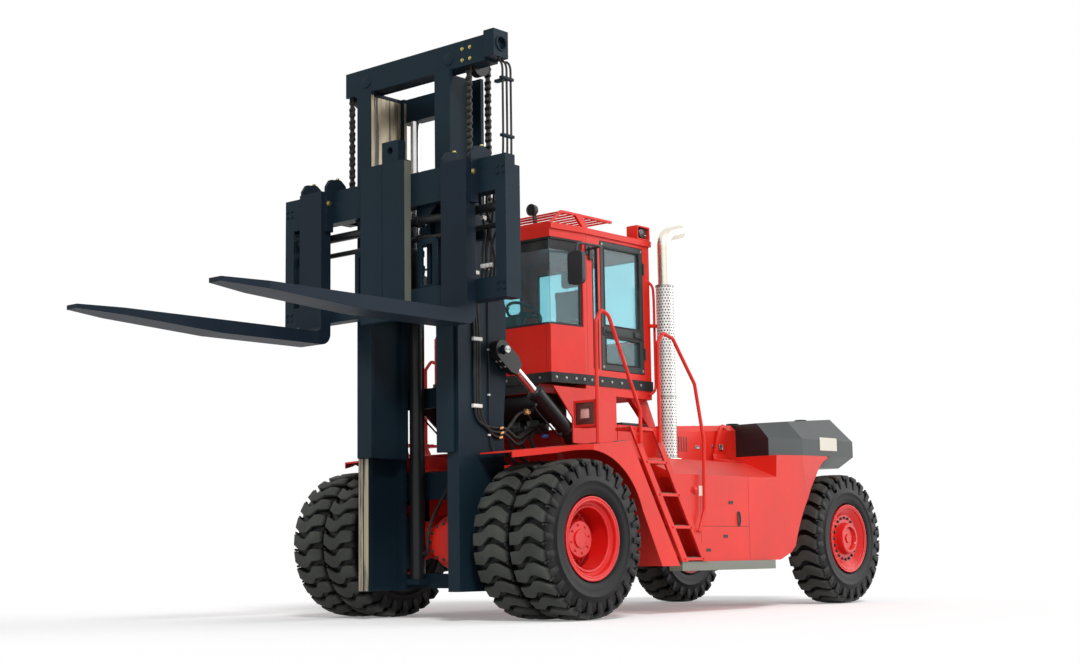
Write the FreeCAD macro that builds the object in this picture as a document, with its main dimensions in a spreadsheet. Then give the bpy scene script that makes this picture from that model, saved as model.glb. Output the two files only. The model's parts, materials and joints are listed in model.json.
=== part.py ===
import FreeCAD, Part
import math
import os
import re
import Sketcher
from types import SimpleNamespace

# Heavy counterbalance forklift with a two-stage mast, a wide fork-positioning carriage, twin
# front tyres and a steered rear axle.
# Lengths are millimetres, angles degrees. Up is +Z, the forks point along -Y, the truck's left is +X.
# The origin is on the ground at the middle of the footprint. Each sub-part is drawn with y = 0 at the
# front axle and its Placement moves it by front_axle_y.

doc = FreeCAD.newDocument("HeavyForklift")
V = FreeCAD.Vector

driving = {
    # running gear
    "front_axle_y": -1080,
    "wheelbase": 5050,
    "tyre_radius": 735,
    "tyre_width": 425,
    "bead_radius": 320,
    "bead_gap": 0.3,
    "twin_inner_x": 1015,
    "twin_outer_x": 1460,
    "rear_tyre_x": 1130,
    "rim_lip_radius": 386,
    "rim_face_x": 1655,
    "hub_end_x": 1500,
    "hub_radius": 185,
    "rear_rim_face_x": 1335,
    "axle_tube_radius": 150,
    "axle_bulge_radius": 260,
    "axle_half": 785,
    "spindle_radius": 100,
    "rear_spindle_radius": 70,
    "kingpin_x": 820,
    "kingpin_radius": 45,
    "steer_beam_half_depth": 105,
    "yoke_gap": 350,
    "yoke_wall": 50,
    "running_clearance": 0.3,
    # main frame and bodywork
    "frame_x": 420,
    "frame_plate": 80,
    "frame_bottom": 550,
    "frame_top": 1450,
    "frame_front": 60,
    "tail_half": 200,
    "tail_end": 5800,
    "deck_plate": 20,
    "cover_half": 860,
    "cover_front": 1400,
    "cover_split": 2250,
    "cover_rear": 3285,
    "cover_top": 1925,
    "cover_top_rear": 1981,
    "cover_bevel": 60,
    "cover_skin": 15,
    "body_x": 1550,
    "body_inner_x": 560,
    "body_front": 1620,
    "body_bottom": 510,
    "body_shoulder": 1370,
    "body_top": 1555,
    "body_shoulder_x": 1100,
    "body_taper_y": 2700,
    "body_taper_angle": 8.3,
    "body_taper_lean": 18.2,
    "cross_member": 60,
    "engine_half": 380,
    "engine_front": 1810,
    "engine_rear": 3150,
    "engine_bottom": 700,
    "rear_arch_y": 5200,
    "rear_arch_z": 150,
    "rear_arch_radius": 1490,
    "rear_room_radius": 930,
    "weight_front": 3300,
    "weight_notch": 200,
    "weight_corner": 680,
    "weight_rear": 5950,
    "weight_half": 1420,
    "weight_tail_half": 900,
    "weight_bottom": 1630,
    "weight_wall": 185,
    "weight_top": 1995,
    "weight_bevel": 190,
    "weight_under": 130,
    "weight_under_y": 4950,
    "weight_rise": 2.1,
    "weight_top_rise": 4.7,
    # front fenders
    "fender_inner_x": 720,
    "fender_outer_x": 1600,
    "fender_nose_x": 1100,
    "fender_front": 500,
    "fender_widest_y": 100,
    "fender_low": 1545,
    "fender_crest": 1660,
    "fender_crest_y": 660,
    "fender_skin": 14,
    "fender_arch_y": 44,
    "fender_arch_z": 724,
    "fender_arch_radius": 827,
    # lamps, mirrors and exhaust
    "lamp_front": 200,
    "lamp_depth": 180,
    "lamp_width": 267,
    "lamp_bottom": 1780,
    "lamp_top": 2030,
    "lamp_plate_x": 1547,
    "lamp_plate_rear": 440,
    "mirror_x": 950,
    "mirror_y": 520,
    "mirror_z": 3190,
    "mirror_width": 220,
    "mirror_height": 360,
    "mirror_depth": 60,
    "stack_x": 985,
    "stack_y": 2083,
    "stack_radius": 70,
    "stack_guard_height": 1830,
    "ladder_width": 340,
    "ladder_lean": 790,
    "ladder_top": 1800,
    "tread_step": 312,
    "tread": 28,
    # cab
    "cab_half": 850,
    "cab_nose_half": 800,
    "cab_front": 450,
    "cab_pillar_y": 920,
    "cab_rear": 2000,
    "cab_floor": 2370,
    "cab_top": 3800,
    "cab_wall": 45,
    "roof_thickness": 60,
    "glass": 8,
    "seal_gap": 0.3,
    "band_height": 100,
    "platform_thickness": 90,
    "door_front": 1180,
    "door_rear": 1880,
    "door_bottom": 2440,
    "door_top": 3760,
    "door_thickness": 40,
    "glass_bottom": 2845,
    "glass_top": 3720,
    "sidelight_front": 1047,
    "sidelight_rear": 1140,
    "panel_gap": 6,
    # two-stage mast
    "mast_half": 677,
    "mast_reach": 737,
    "mast_depth": 507,
    "mast_web": 40,
    "mast_flange": 47,
    "mast_flange_width": 147,
    "mast_bottom": 270,
    "mast_top": 3930,
    "inner_half": 640,
    "inner_reach": 786,
    "inner_web_x": 520,
    "inner_web": 35,
    "inner_flange": 41,
    "inner_flange_x": 440,
    "inner_back": 290,
    "inner_bottom": 1550,
    "head_bottom": 5190,
    "head_height": 250,
    "head_reach": 750,
    "head_depth": 180,
    "head_right": 846,
    "head_left": 1070,
    "ram_x": 355,
    "ram_y": -250,
    "ram_radius": 75,
    "ram_rod_radius": 55,
    "ram_top": 3620,
    "chain_x": 810,
    "chain_width": 70,
    "chain_depth": 36,
    "sheave_y": -565,
    "sheave_z": 5230,
    "sheave_radius": 112,
    "trunnion_x": 560,
    "trunnion_width": 90,
    "trunnion_wall": 85,
    # tilt cylinders
    "tilt_x": 760,
    "tilt_front_y": -254,
    "tilt_front_z": 2525,
    "tilt_rear_y": 804,
    "tilt_rear_z": 1747,
    "tilt_barrel_radius": 80,
    "tilt_rod_radius": 42,
    "tilt_head_radius": 95,
    "tilt_head_length": 290,
    "tilt_head_width": 90,
    "tilt_barrel_length": 700,
    "tilt_pin_radius": 30,
    "tilt_eye_clearance": 15,
    # carriage and forks
    "carriage_half": 1506,
    "carriage_end": 126,
    "carriage_reach": 970,
    "beam_depth": 140,
    "end_plate_depth": 195,
    "carriage_bottom": 2880,
    "carriage_top": 4190,
    "top_beam": 320,
    "bottom_beam": 200,
    "column_half": 300,
    "column_reach": 1060,
    "column_bottom": 2800,
    "column_top": 4320,
    "fork_x": 980,
    "fork_width": 320,
    "fork_thickness": 125,
    "fork_face": 1100,
    "fork_tip": 3790,
    "fork_top": 2785,
    "fork_tip_thickness": 38,
    "fork_tip_width": 150,
    "hook_plate": 32,
}
size = SimpleNamespace(**driving)

sheet = doc.addObject("Spreadsheet::Sheet", "dims")
for row, (alias, value) in enumerate(driving.items(), start=1):
    sheet.set(f"A{row}", alias)
    sheet.set(f"B{row}", str(value))
    sheet.setAlias(f"B{row}", alias)
doc.recompute()

axes = {"X": V(1, 0, 0), "Y": V(0, 1, 0), "Z": V(0, 0, 1)}
functions = ("sin", "cos", "tan", "atan2", "hypot", "sqrt")
nodes = []


def qualified(text):
    """Writes each spreadsheet alias of an expression as dims.alias."""
    def name(match):
        word = match.group(0)
        return word if word in functions else "dims." + word
    return re.sub(r"[a-z][a-z0-9_]*", name, str(text))


def bind(target, attribute, text):
    target.setExpression(attribute, qualified(text))


def place(target, x=0, y=0, z=0):
    for name, text in (("x", x), ("y", y), ("z", z)):
        bind(target, "Placement.Base." + name, text)
    return target


def box(x0, x1, y0, y1, z0, z1):
    """A block between two corners."""
    block = doc.addObject("Part::Box", "block")
    bind(block, "Length", f"({x1}) - ({x0})")
    bind(block, "Width", f"({y1}) - ({y0})")
    bind(block, "Height", f"({z1}) - ({z0})")
    return place(block, x0, y0, z0)


def aimed(target, axis):
    """Turns a body of revolution from +Z to the named axis."""
    target.Placement = FreeCAD.Placement(V(0, 0, 0), FreeCAD.Rotation(axes["Z"], axes[axis]))
    return target


def rod(axis, x, y, z, radius, length):
    """A round bar that starts at a point and runs along an axis."""
    bar = aimed(doc.addObject("Part::Cylinder", "bar"), axis)
    bind(bar, "Radius", radius)
    bind(bar, "Height", length)
    return place(bar, x, y, z)


def fused(*pieces):
    joined = doc.addObject("Part::MultiFuse", "joined")
    joined.Shapes = list(pieces)
    joined.Refine = True
    return joined


def group(*pieces):
    """Solids that share a node without touching."""
    together = doc.addObject("Part::Compound", "group")
    together.Links = list(pieces)
    return together


def cut(base, *tools):
    remainder = doc.addObject("Part::Cut", "remainder")
    remainder.Base = base
    remainder.Tool = tools[0] if len(tools) == 1 else fused(*tools)
    remainder.Refine = True
    return remainder


def tube(axis, x, y, z, radius, bore, length):
    return cut(rod(axis, x, y, z, radius, length), rod(axis, x, y, z, bore, length))


def mirrored(source):
    """The same piece on the other side of the truck."""
    twin = doc.addObject("Part::Mirroring", "twin")
    twin.Source = source
    twin.Base = V(0, 0, 0)
    twin.Normal = axes["X"]
    return twin


def pair(piece):
    return group(piece, mirrored(piece))


def outline(body, plane, points, offset=0):
    """A closed sketch of straight edges whose corners are bound to the spreadsheet."""
    sketch = body.newObject("Sketcher::SketchObject", "outline")
    sketch.AttachmentSupport = [(role(body, plane), "")]
    sketch.MapMode = "FlatFace"
    count = len(points)
    start = [V(100 * math.cos(2 * math.pi * k / count), 100 * math.sin(2 * math.pi * k / count), 0)
             for k in range(count)]
    for k in range(count):
        sketch.addGeometry(Part.LineSegment(start[k], start[(k + 1) % count]), False)
    for k in range(count):
        sketch.addConstraint(Sketcher.Constraint("Coincident", k, 2, (k + 1) % count, 1))
    for k, (across, up) in enumerate(points):
        for kind, value, text in (("DistanceX", start[k].x, across), ("DistanceY", start[k].y, up)):
            number = sketch.addConstraint(Sketcher.Constraint(kind, -1, 1, k, 1, value))
            bind(sketch, f"Constraints[{number}]", text)
    bind(sketch, "AttachmentOffset.Base.z", offset)
    return sketch


def role(body, name):
    return [feature for feature in body.Origin.OriginFeatures if feature.Role == name][0]


def prism(plane, points, start, length):
    """A sketch on XY, YZ or XZ, padded along the plane's normal (+Z, +X or -Y) from a start."""
    body = doc.addObject("PartDesign::Body", "prism")
    pad = body.newObject("PartDesign::Pad", "pad")
    pad.Profile = outline(body, plane + "_Plane", points, start)
    bind(pad, "Length", length)
    body.Tip = pad
    return body


def turned(points):
    """A profile of (x, radius) corners turned round the X axis."""
    body = doc.addObject("PartDesign::Body", "turned")
    turn = body.newObject("PartDesign::Revolution", "turn")
    turn.Profile = outline(body, "XY_Plane", points)
    turn.ReferenceAxis = (role(body, "X_Axis"), [""])
    turn.Angle = 360
    body.Tip = turn
    return body


def rounded(body, radius, chosen, kind="Fillet"):
    """Rounds (or bevels) the edges of a body's last feature that the test picks."""
    doc.recompute()
    tip = body.Tip
    names = [f"Edge{k + 1}" for k, edge in enumerate(tip.Shape.Edges) if chosen(edge)]
    feature = body.newObject("PartDesign::" + kind, "rounding")
    feature.Base = (tip, names)
    bind(feature, "Radius" if kind == "Fillet" else "Size", radius)
    body.Tip = feature
    return body


def along(edge, axis):
    if not isinstance(edge.Curve, Part.Line):
        return False
    return abs(edge.Curve.Direction.dot(axes[axis])) > 0.999


def pipe(points, bend, radius):
    """A round tube along straight runs joined by tangent arcs."""
    corners = [V(*point) for point in points]
    edges = []
    last = corners[0]
    for before, corner, after in zip(corners, corners[1:], corners[2:]):
        back = (before - corner).normalize()
        ahead = (after - corner).normalize()
        half = back.getAngle(ahead) / 2
        reach = bend / math.tan(half)
        start = corner + back * reach
        end = corner + ahead * reach
        middle = corner + (back + ahead).normalize() * (bend / math.sin(half) - bend)
        edges.append(Part.LineSegment(last, start).toShape())
        edges.append(Part.Arc(start, middle, end).toShape())
        last = end
    edges.append(Part.LineSegment(last, corners[-1]).toShape())
    spine = Part.Wire(edges)
    section = Part.Wire(Part.Circle(corners[0], corners[1] - corners[0], radius).toShape())
    made = doc.addObject("Part::Feature", "pipe")
    made.Shape = spine.makePipeShell([section], True, True)
    return made


def node(label, piece, y="front_axle_y", x=0, z=0):
    """Names a finished sub-part and sets its place in the truck."""
    place(piece, x, y, z)
    piece.Label = label
    nodes.append(piece)
    return piece


def twin_nodes(label, piece, y="front_axle_y", x=0, z=0):
    """A left-hand sub-part and its mirror image on the right."""
    node(label + "_left", piece, y, x, z)
    other = mirrored(piece)
    other.Label = label + "_right"
    nodes.append(other)


# ---------------------------------------------------------------- wheels

def tyre(x):
    """A bias tyre: bead, bulged sidewall, square shoulder and flat tread."""
    half = "tyre_width / 2"
    body = turned([
        (f"-{half} + 80", "bead_radius + bead_gap"),
        (f"{half} - 80", "bead_radius + bead_gap"),
        (f"{half} - 42", "rim_lip_radius + 1"),
        (f"{half} - 22", "rim_lip_radius + 12"),
        (half, "tyre_radius * 0.72"),
        (f"{half} - 6", "tyre_radius * 0.93"),
        (f"{half} - 45", "tyre_radius"),
        (f"-{half} + 45", "tyre_radius"),
        (f"-{half} + 6", "tyre_radius * 0.93"),
        (f"-{half}", "tyre_radius * 0.72"),
        (f"-{half} + 22", "rim_lip_radius + 12"),
        (f"-{half} + 42", "rim_lip_radius + 1"),
    ])
    return place(body, x, 0, 0)


def front_rim():
    """Twin rim: one drum with four bead flanges, a dished disc and the hub end standing in it."""
    return turned([
        ("axle_half + 12", "bead_radius - 20"),
        ("twin_outer_x - 220", "bead_radius - 20"),
        ("twin_outer_x - 220", "hub_radius + 20"),
        ("axle_half + 50", "hub_radius + 20"),
        ("axle_half + 50", "spindle_radius + running_clearance"),
        ("hub_end_x - 80", "spindle_radius + running_clearance"),
        ("hub_end_x - 80", "0"),
        ("hub_end_x + 12", "0"),
        ("hub_end_x + 12", "hub_radius * 0.4"),
        ("hub_end_x", "hub_radius * 0.45"),
        ("hub_end_x", "hub_radius - 22"),
        ("hub_end_x - 20", "hub_radius - 6"),
        ("hub_end_x - 130", "hub_radius"),
        ("hub_end_x - 140", "hub_radius + 85"),
        ("hub_end_x - 130", "bead_radius - 38"),
        ("rim_face_x - 70", "bead_radius - 26"),
        ("rim_face_x - 40", "bead_radius + 14"),
        ("rim_face_x - 14", "bead_radius + 20"),
        ("rim_face_x", "rim_lip_radius - 12"),
        ("rim_face_x", "rim_lip_radius"),
        ("rim_face_x - 22", "rim_lip_radius"),
        ("rim_face_x - 40", "bead_radius + 24"),
        ("rim_face_x - 58", "bead_radius"),
        ("axle_half + 50", "bead_radius"),
        ("axle_half + 34", "rim_lip_radius"),
        ("axle_half + 12", "rim_lip_radius"),
    ])


def rear_rim():
    """Single rim with its disc near the outer face and a raised ring round the hub cap."""
    face = "rear_rim_face_x"
    return turned([
        (f"{face} - 400", "bead_radius - 20"),
        (f"{face} - 110", "bead_radius - 30"),
        (f"{face} - 110", "rear_spindle_radius + 50"),
        (f"{face} - 330", "rear_spindle_radius + 50"),
        (f"{face} - 330", "rear_spindle_radius + running_clearance"),
        (f"{face} - 90", "rear_spindle_radius + running_clearance"),
        (f"{face} - 90", "0"),
        (f"{face} - 20", "0"),
        (f"{face} - 20", "hub_radius - 60"),
        (f"{face} + 5", "hub_radius - 50"),
        (f"{face} + 5", "hub_radius - 15"),
        (f"{face} - 60", "hub_radius"),
        (f"{face} - 60", "bead_radius - 50"),
        (f"{face} - 20", "bead_radius + 10"),
        (face, "rim_lip_radius - 10"),
        (face, "rim_lip_radius"),
        (f"{face} - 22", "rim_lip_radius"),
        (f"{face} - 36", "bead_radius"),
        (f"{face} - 384", "bead_radius"),
        (f"{face} - 400", "rim_lip_radius"),
        (f"{face} - 415", "rim_lip_radius"),
        (f"{face} - 415", "bead_radius - 20"),
    ])


twin_nodes("front_tyres", group(tyre("twin_inner_x"), tyre("twin_outer_x")), z="tyre_radius")
twin_nodes("front_rim", front_rim(), z="tyre_radius")
twin_nodes("rear_tyre", group(tyre("rear_tyre_x")), "front_axle_y + wheelbase", z="tyre_radius")
twin_nodes("rear_rim", rear_rim(), "front_axle_y + wheelbase", z="tyre_radius")

# ---------------------------------------------------------------- axles

# Drive axle: a straight tube with a swollen differential housing, and a spindle in each hub.
bulge = turned([
    ("-axle_bulge_radius", "axle_tube_radius - 20"),
    ("axle_bulge_radius", "axle_tube_radius - 20"),
    ("axle_bulge_radius", "axle_tube_radius"),
    ("axle_bulge_radius * 0.5", "axle_bulge_radius"),
    ("-axle_bulge_radius * 0.5", "axle_bulge_radius"),
    ("-axle_bulge_radius", "axle_tube_radius"),
])
bulge_core = rod("X", "-axle_bulge_radius", 0, 0, "axle_tube_radius - 20", "2 * axle_bulge_radius")
tube_bar = rod("X", "-axle_half", 0, 0, "axle_tube_radius", "2 * axle_half")
spindles = rod("X", "-(hub_end_x - 90)", 0, 0, "spindle_radius", "2 * (hub_end_x - 90)")
saddle = box("frame_x", "frame_x + frame_plate", -110, 110, 0, "940 - tyre_radius")
node("front_axle", fused(bulge, bulge_core, tube_bar, spindles, saddle, mirrored(saddle)), z="tyre_radius")

# Steered axle: a deep beam hung under the tail, with a yoke and kingpin bores at each end and the
# steering cylinder behind it.
half_yoke = "yoke_gap / 2"
beam = prism("XZ", [
    ("-(kingpin_x - 110)", "-80"), ("-320", "-150"), ("320", "-150"), ("kingpin_x - 110", "-80"),
    ("kingpin_x - 110", "120"), ("320", "160"), ("-320", "160"), ("-(kingpin_x - 110)", "120"),
], "-steer_beam_half_depth", "2 * steer_beam_half_depth")
yoke_back = box("kingpin_x - 130", "kingpin_x - 90", "-steer_beam_half_depth",
                "steer_beam_half_depth", f"-{half_yoke} - yoke_wall", f"{half_yoke} + yoke_wall")
arms = []
for level in (f"-{half_yoke} - yoke_wall", half_yoke):
    plate = box("kingpin_x - 130", "kingpin_x", -85, 85, level, f"{level} + yoke_wall")
    arms.append(fused(plate, rod("Z", "kingpin_x", 0, level, 85, "yoke_wall")))
bore = rod("Z", "kingpin_x", 0, f"-{half_yoke} - yoke_wall - 1", "kingpin_radius + running_clearance",
           "yoke_gap + 2 * yoke_wall + 2")
yoke = cut(fused(yoke_back, *arms), bore)
hanger = box(-180, 180, -150, 150, 150, "1000 - tyre_radius")
steer_cylinder = fused(rod("X", -330, 175, 0, 60, 660), rod("X", -420, 175, 0, 30, 840),
                       box(-60, 60, 90, 175, -50, 50))
node("rear_axle", fused(beam, yoke, mirrored(yoke), hanger, steer_cylinder),
     "front_axle_y + wheelbase", z="tyre_radius")

# Knuckle: a block between the yoke arms, turned on its kingpin, with the wheel spindle.
knuckle_block = fused(
    rod("Z", "kingpin_x", 0, f"-{half_yoke} + 5", 80, "yoke_gap - 10"),
    box("kingpin_x", "kingpin_x + 110", -60, 60, -90, 90),
)
kingpin = rod("Z", "kingpin_x", 0, f"-{half_yoke} - yoke_wall", "kingpin_radius",
              "yoke_gap + 2 * yoke_wall")
spindle = rod("X", "kingpin_x", 0, 0, "rear_spindle_radius", "rear_rim_face_x - 100 - kingpin_x")
twin_nodes("knuckle", fused(knuckle_block, kingpin, spindle), "front_axle_y + wheelbase", z="tyre_radius")

# ---------------------------------------------------------------- frame and bodywork

def weight_low(y):
    """Height of the counterweight's sloping underside at a distance behind the front axle."""
    return f"(weight_bottom + (({y}) - weight_front - weight_notch) * tan(weight_rise))"


# Two side plates that step up over the drive axle, cross members, the deck under the cab and a
# narrow tail that leaves room for the steered wheels.
side_plate = prism("YZ", [
    ("frame_front", "frame_top"), ("frame_front", "940"), ("230", "940"), ("430", "frame_bottom"),
    ("3850", "frame_bottom"), ("4150", "1000"), ("4150", "frame_top"),
], "frame_x", "frame_plate")
cross = [box("-frame_x - 1", "frame_x + 1", y0, f"{y0} + cross_member", "frame_bottom + 60",
             "frame_top - 60")
         for y0 in ("500", "engine_front - cross_member", "engine_rear")]
front_cross = box("-frame_x - 1", "frame_x + 1", "frame_front + 60", "frame_front + 60 + cross_member",
                  1000, "frame_top")
deck_step = "cab_pillar_y - 15"
deck = prism("XY", [
    ("-fender_inner_x", "frame_front + 60"), ("fender_inner_x", "frame_front + 60"),
    ("fender_inner_x", deck_step), ("cover_half", deck_step), ("cover_half", "cover_front"),
    ("-cover_half", "cover_front"), ("-cover_half", deck_step), ("-fender_inner_x", deck_step),
], "frame_top - deck_plate / 2", "deck_plate")
tail_top = "- weight_under - seal_gap"
tail = prism("YZ", [
    ("4100", "1000"), ("tail_end", "1000"), ("tail_end", weight_low("tail_end") + tail_top),
    ("weight_under_y", weight_low("weight_under_y") + tail_top), ("weight_under_y", "frame_top"),
    ("4100", "frame_top"),
], "-tail_half", "2 * tail_half")
tail_drop = box("-tail_half", "tail_half", 5300, "tail_end", 760, 1010)
neck = box("-frame_x - frame_plate", "frame_x + frame_plate", 4000, 4150, 1000, "frame_top")
node("chassis_frame", fused(side_plate, mirrored(side_plate), front_cross, deck, tail, tail_drop,
                            neck, *cross))

node("engine_block", group(box("-engine_half", "engine_half", "engine_front", "engine_rear",
                               "engine_bottom", "frame_top - deck_plate / 2")))

# Tow hitch: two plates on the tail with a vertical pin bore.
hitch = fused(
    box(-90, 90, "tail_end", "tail_end + 25", 790, 1090),
    box(-70, 70, "tail_end + 20", "weight_rear - 65", 850, 885),
    box(-70, 70, "tail_end + 20", "weight_rear - 65", 995, 1030),
    rod("Z", 0, "weight_rear - 70", 850, 70, 35),
    rod("Z", 0, "weight_rear - 70", 995, 70, 35),
)
hitch_bore = rod("Z", 0, "weight_rear - 70", 800, 26, 300)
node("tow_hitch", cut(hitch, hitch_bore))

# Counterweight: a faceted casting above the rear wheels, notched at the front for the engine cover and
# tapered to the rear. Its sections rise to the rear, the top one most, and are drawn in above the upper
# edge and, behind the side bodies, below the lower one.
def weight_section(body, front_height, rise, inset):
    """The casting's plan on a plane that rises to the rear, drawn in at the sides and the rear."""
    pull = f"{inset} * weight_notch / (weight_half - cover_half)"
    half = [
        ("cover_half + 10", "weight_front + weight_notch"),
        (f"weight_half - {inset}", f"weight_front + {pull}"),
        (f"weight_half - {inset}", "weight_front + weight_corner"),
        (f"weight_tail_half - {inset}", f"weight_rear - {inset}"),
    ]
    other = [(f"-({x})", y) for x, y in reversed(half)]
    points = [(x, f"({y}) / cos({rise})") for x, y in half + other]
    sketch = outline(body, "XY_Plane", points,
                     f"{front_height} - (weight_front + weight_notch) * tan({rise})")
    sketch.AttachmentOffset = FreeCAD.Placement(sketch.AttachmentOffset.Base,
                                                FreeCAD.Rotation(axes["X"], size.weight_rise))
    bind(sketch, "AttachmentOffset.Rotation.Angle", rise)
    return sketch


def ruled_loft(body, sections):
    loft = body.newObject("PartDesign::AdditiveLoft", "loft")
    loft.Profile = sections[0]
    loft.Sections = sections[1:]
    loft.Ruled = True
    body.Tip = loft
    return body


casting_body = doc.addObject("PartDesign::Body", "casting")
casting = ruled_loft(casting_body, [
    weight_section(casting_body, "weight_bottom - weight_under", "weight_rise", "weight_under"),
    weight_section(casting_body, "weight_bottom", "weight_rise", "0"),
    weight_section(casting_body, "weight_bottom + weight_wall", "weight_rise", "0"),
    weight_section(casting_body, "weight_top", "weight_top_rise", "weight_bevel"),
])
seat_cut = prism("YZ", [
    ("weight_front - 50", weight_low("weight_front - 50")), ("weight_front - 50", "weight_bottom - 300"),
    ("weight_under_y", "weight_bottom - 300"), ("weight_under_y", weight_low("weight_under_y")),
], "-2000", "4000")
node("counterweight", cut(casting, seat_cut))

# Side bodies: tanks and steps' backing between the front fender and the rear wheel arch, with a
# sloping shoulder, a rear taper in plan and the round wheel arch.
flank_end = "weight_under_y - 50"
flank = prism("YZ", [
    ("body_front", "body_bottom"), ("3420", "body_bottom"), ("3700", "body_bottom + 80"),
    (flank_end, "1400"), (flank_end, weight_low(flank_end) + " - seal_gap"),
    ("weight_front", weight_low("weight_front") + " - seal_gap"), ("weight_front", "body_top"),
    ("cover_front", "body_top"), ("cover_front", "1100"),
], "body_inner_x", "body_x - body_inner_x")
shoulder = prism("XZ", [
    ("body_x + 1", "body_shoulder"), ("body_x + 1", "body_top + 1"), ("body_shoulder_x", "body_top + 1"),
    ("body_shoulder_x", "body_top"),
], "-weight_front", "weight_front")
taper = prism("XY", [
    ("body_x", "0"), ("body_x + 90", "0"), ("body_x + 90", "2400"),
    ("body_x - 2400 * tan(body_taper_angle)", "2400"),
], -900, 3000)
taper.Placement = FreeCAD.Placement(V(0, 0, 0), FreeCAD.Rotation(V(-1, 0, 0), size.body_taper_lean))
bind(taper, "Placement.Rotation.Angle", "body_taper_lean")
place(taper, 0, "body_taper_y", "body_bottom")
rear_taper = prism("XY", [
    ("weight_half", "weight_front + weight_corner"), ("weight_half + 300", "weight_front + weight_corner"),
    ("weight_half + 300", "weight_rear"), ("weight_tail_half", "weight_rear"),
], 0, 2000)
arch = rod("X", 0, "rear_arch_y", "rear_arch_z", "rear_arch_radius", 2000)
wheel_room = rod("X", 0, "wheelbase", "tyre_radius", "rear_room_radius", 2000)
ladder_well = prism("YZ", [
    ("1000", "body_top + 5"), ("1000", "400"), ("1915", "400"), ("1915", "510"), ("1262", "body_top + 5"),
], "fender_outer_x - 230", 400)
hood_notch = box(0, "cover_half + 8", "weight_front - 5", "weight_front + weight_notch", "body_top",
                 "weight_top")
flank_cut = cut(flank, hood_notch, shoulder, taper, rear_taper, arch, wheel_room, ladder_well)
node("side_bodies", pair(flank_cut))

bar = box("body_x - 150", "body_x + 10", "body_front - 130", 3150, "body_bottom - 90", "body_bottom")
node("step_bars", pair(bar))

# Engine cover: a fixed front half behind the cab, a hinged, hollow rear half and a fixed strip in the
# counterweight's notch.
def is_sloping_top(edge):
    return edge.BoundBox.ZMin > size.cover_top - 1 and edge.BoundBox.YLength > size.cover_bevel


fixed_cover = box("-cover_half", "cover_half", "cover_front", "cover_split",
                  "body_top", "cover_top - 30")


def cover_height(y):
    """Height of the cover's sloping top at a distance behind the front axle."""
    slope = "(cover_top_rear - cover_top) / (cover_rear - cover_split)"
    return f"(cover_top + (({y}) - cover_split) * {slope})"


rear_cover_start = "cover_rear + panel_gap * 2"
rear_cover_end = "weight_front + weight_notch - seal_gap"
rear_cover = rounded(prism("YZ", [
    (rear_cover_start, "body_top"), (rear_cover_end, "body_top"),
    (rear_cover_end, cover_height(rear_cover_end)), (rear_cover_start, cover_height(rear_cover_start)),
], "-cover_half", "2 * cover_half"), "cover_bevel", is_sloping_top, "Chamfer")
node("engine_deck", group(fixed_cover, rear_cover))
hood_front = "cover_split + panel_gap * 2"
hood_body = prism("YZ", [
    (hood_front, "body_top + seal_gap"), ("cover_rear", "body_top + seal_gap"),
    ("cover_rear", "cover_top_rear"), (hood_front, "cover_top"),
], "-cover_half", "2 * cover_half")
rounded(hood_body, "cover_bevel", is_sloping_top, "Chamfer")
hood_hollow = prism("YZ", [
    (f"{hood_front} + cover_skin", "body_top"), ("cover_rear - cover_skin", "body_top"),
    ("cover_rear - cover_skin", "cover_top_rear - cover_bevel - cover_skin"),
    (f"{hood_front} + cover_skin", "cover_top - cover_bevel - cover_skin"),
], "-cover_half + cover_skin", "2 * (cover_half - cover_skin)")
hood_hinges = [rod("Y", "-cover_half - 9", f"cover_split + {200 + k * 320}", "body_top + 12", 11, 110)
               for k in range(3)]
node("hood", fused(cut(hood_body, hood_hollow), *hood_hinges))

# Front fenders: a sloping skin over the twin tyres with a deep outer lip, drawn in towards the mast.
fender_side = [
    ("-fender_front", "fender_low"), ("fender_crest_y", "fender_crest"), ("1400", "470"), ("900", "470"),
    ("-fender_front", "1200"),
]
inner_side = [
    ("-fender_front - 20", "fender_low - 16"), ("fender_crest_y - 9", "fender_crest - 15"),
    ("1384", "465"), ("900", "440"),
    ("-fender_front - 20", "1190"),
]
arch_side = [
    ("-fender_front - 30", "1478"), ("fender_arch_y", "fender_arch_z + fender_arch_radius"),
    ("833", "985"), ("1105", "486"), ("1150", "400"), ("-fender_front - 30", "400"),
]


def nose_wedge(inset):
    """The plan wedge outside the line from the nose corner to the widest point."""
    return prism("XY", [
        (f"fender_nose_x - {inset}", "-fender_front - 40"), (f"fender_outer_x - {inset}", "fender_widest_y"),
        ("fender_outer_x + 60", "fender_widest_y"), ("fender_outer_x + 60", "-fender_front - 40"),
    ], 0, 2000)


fender_block = cut(prism("YZ", fender_side, "fender_inner_x", "fender_outer_x - fender_inner_x"),
                   nose_wedge("0"), prism("YZ", arch_side, "fender_inner_x - 10", 1000),
                   rod("X", "fender_inner_x - 10", "fender_arch_y", "fender_arch_z",
                       "fender_arch_radius", 1000))
fender_core = cut(prism("YZ", inner_side, "fender_inner_x - 10",
                        "fender_outer_x - fender_inner_x + 10 - fender_skin"), nose_wedge("fender_skin"))
fender_shell = cut(fender_block, fender_core)
fender_foot = box("fender_inner_x", "fender_inner_x + fender_skin", 180, 600,
                  "frame_top - deck_plate / 2 - 40", 1612)
node("front_fenders", pair(fused(fender_shell, fender_foot)))

# ---------------------------------------------------------------- ladders, rails and lamps

rail_radius = 18
rail_x = size.fender_outer_x - 20 + rail_radius + size.seal_gap


def fender_top(y):
    """Height of the sloping fender top at a distance behind the axle."""
    rise = (size.fender_crest - size.fender_low) / (size.fender_crest_y + size.fender_front)
    return size.fender_low + (y + size.fender_front) * rise


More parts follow.
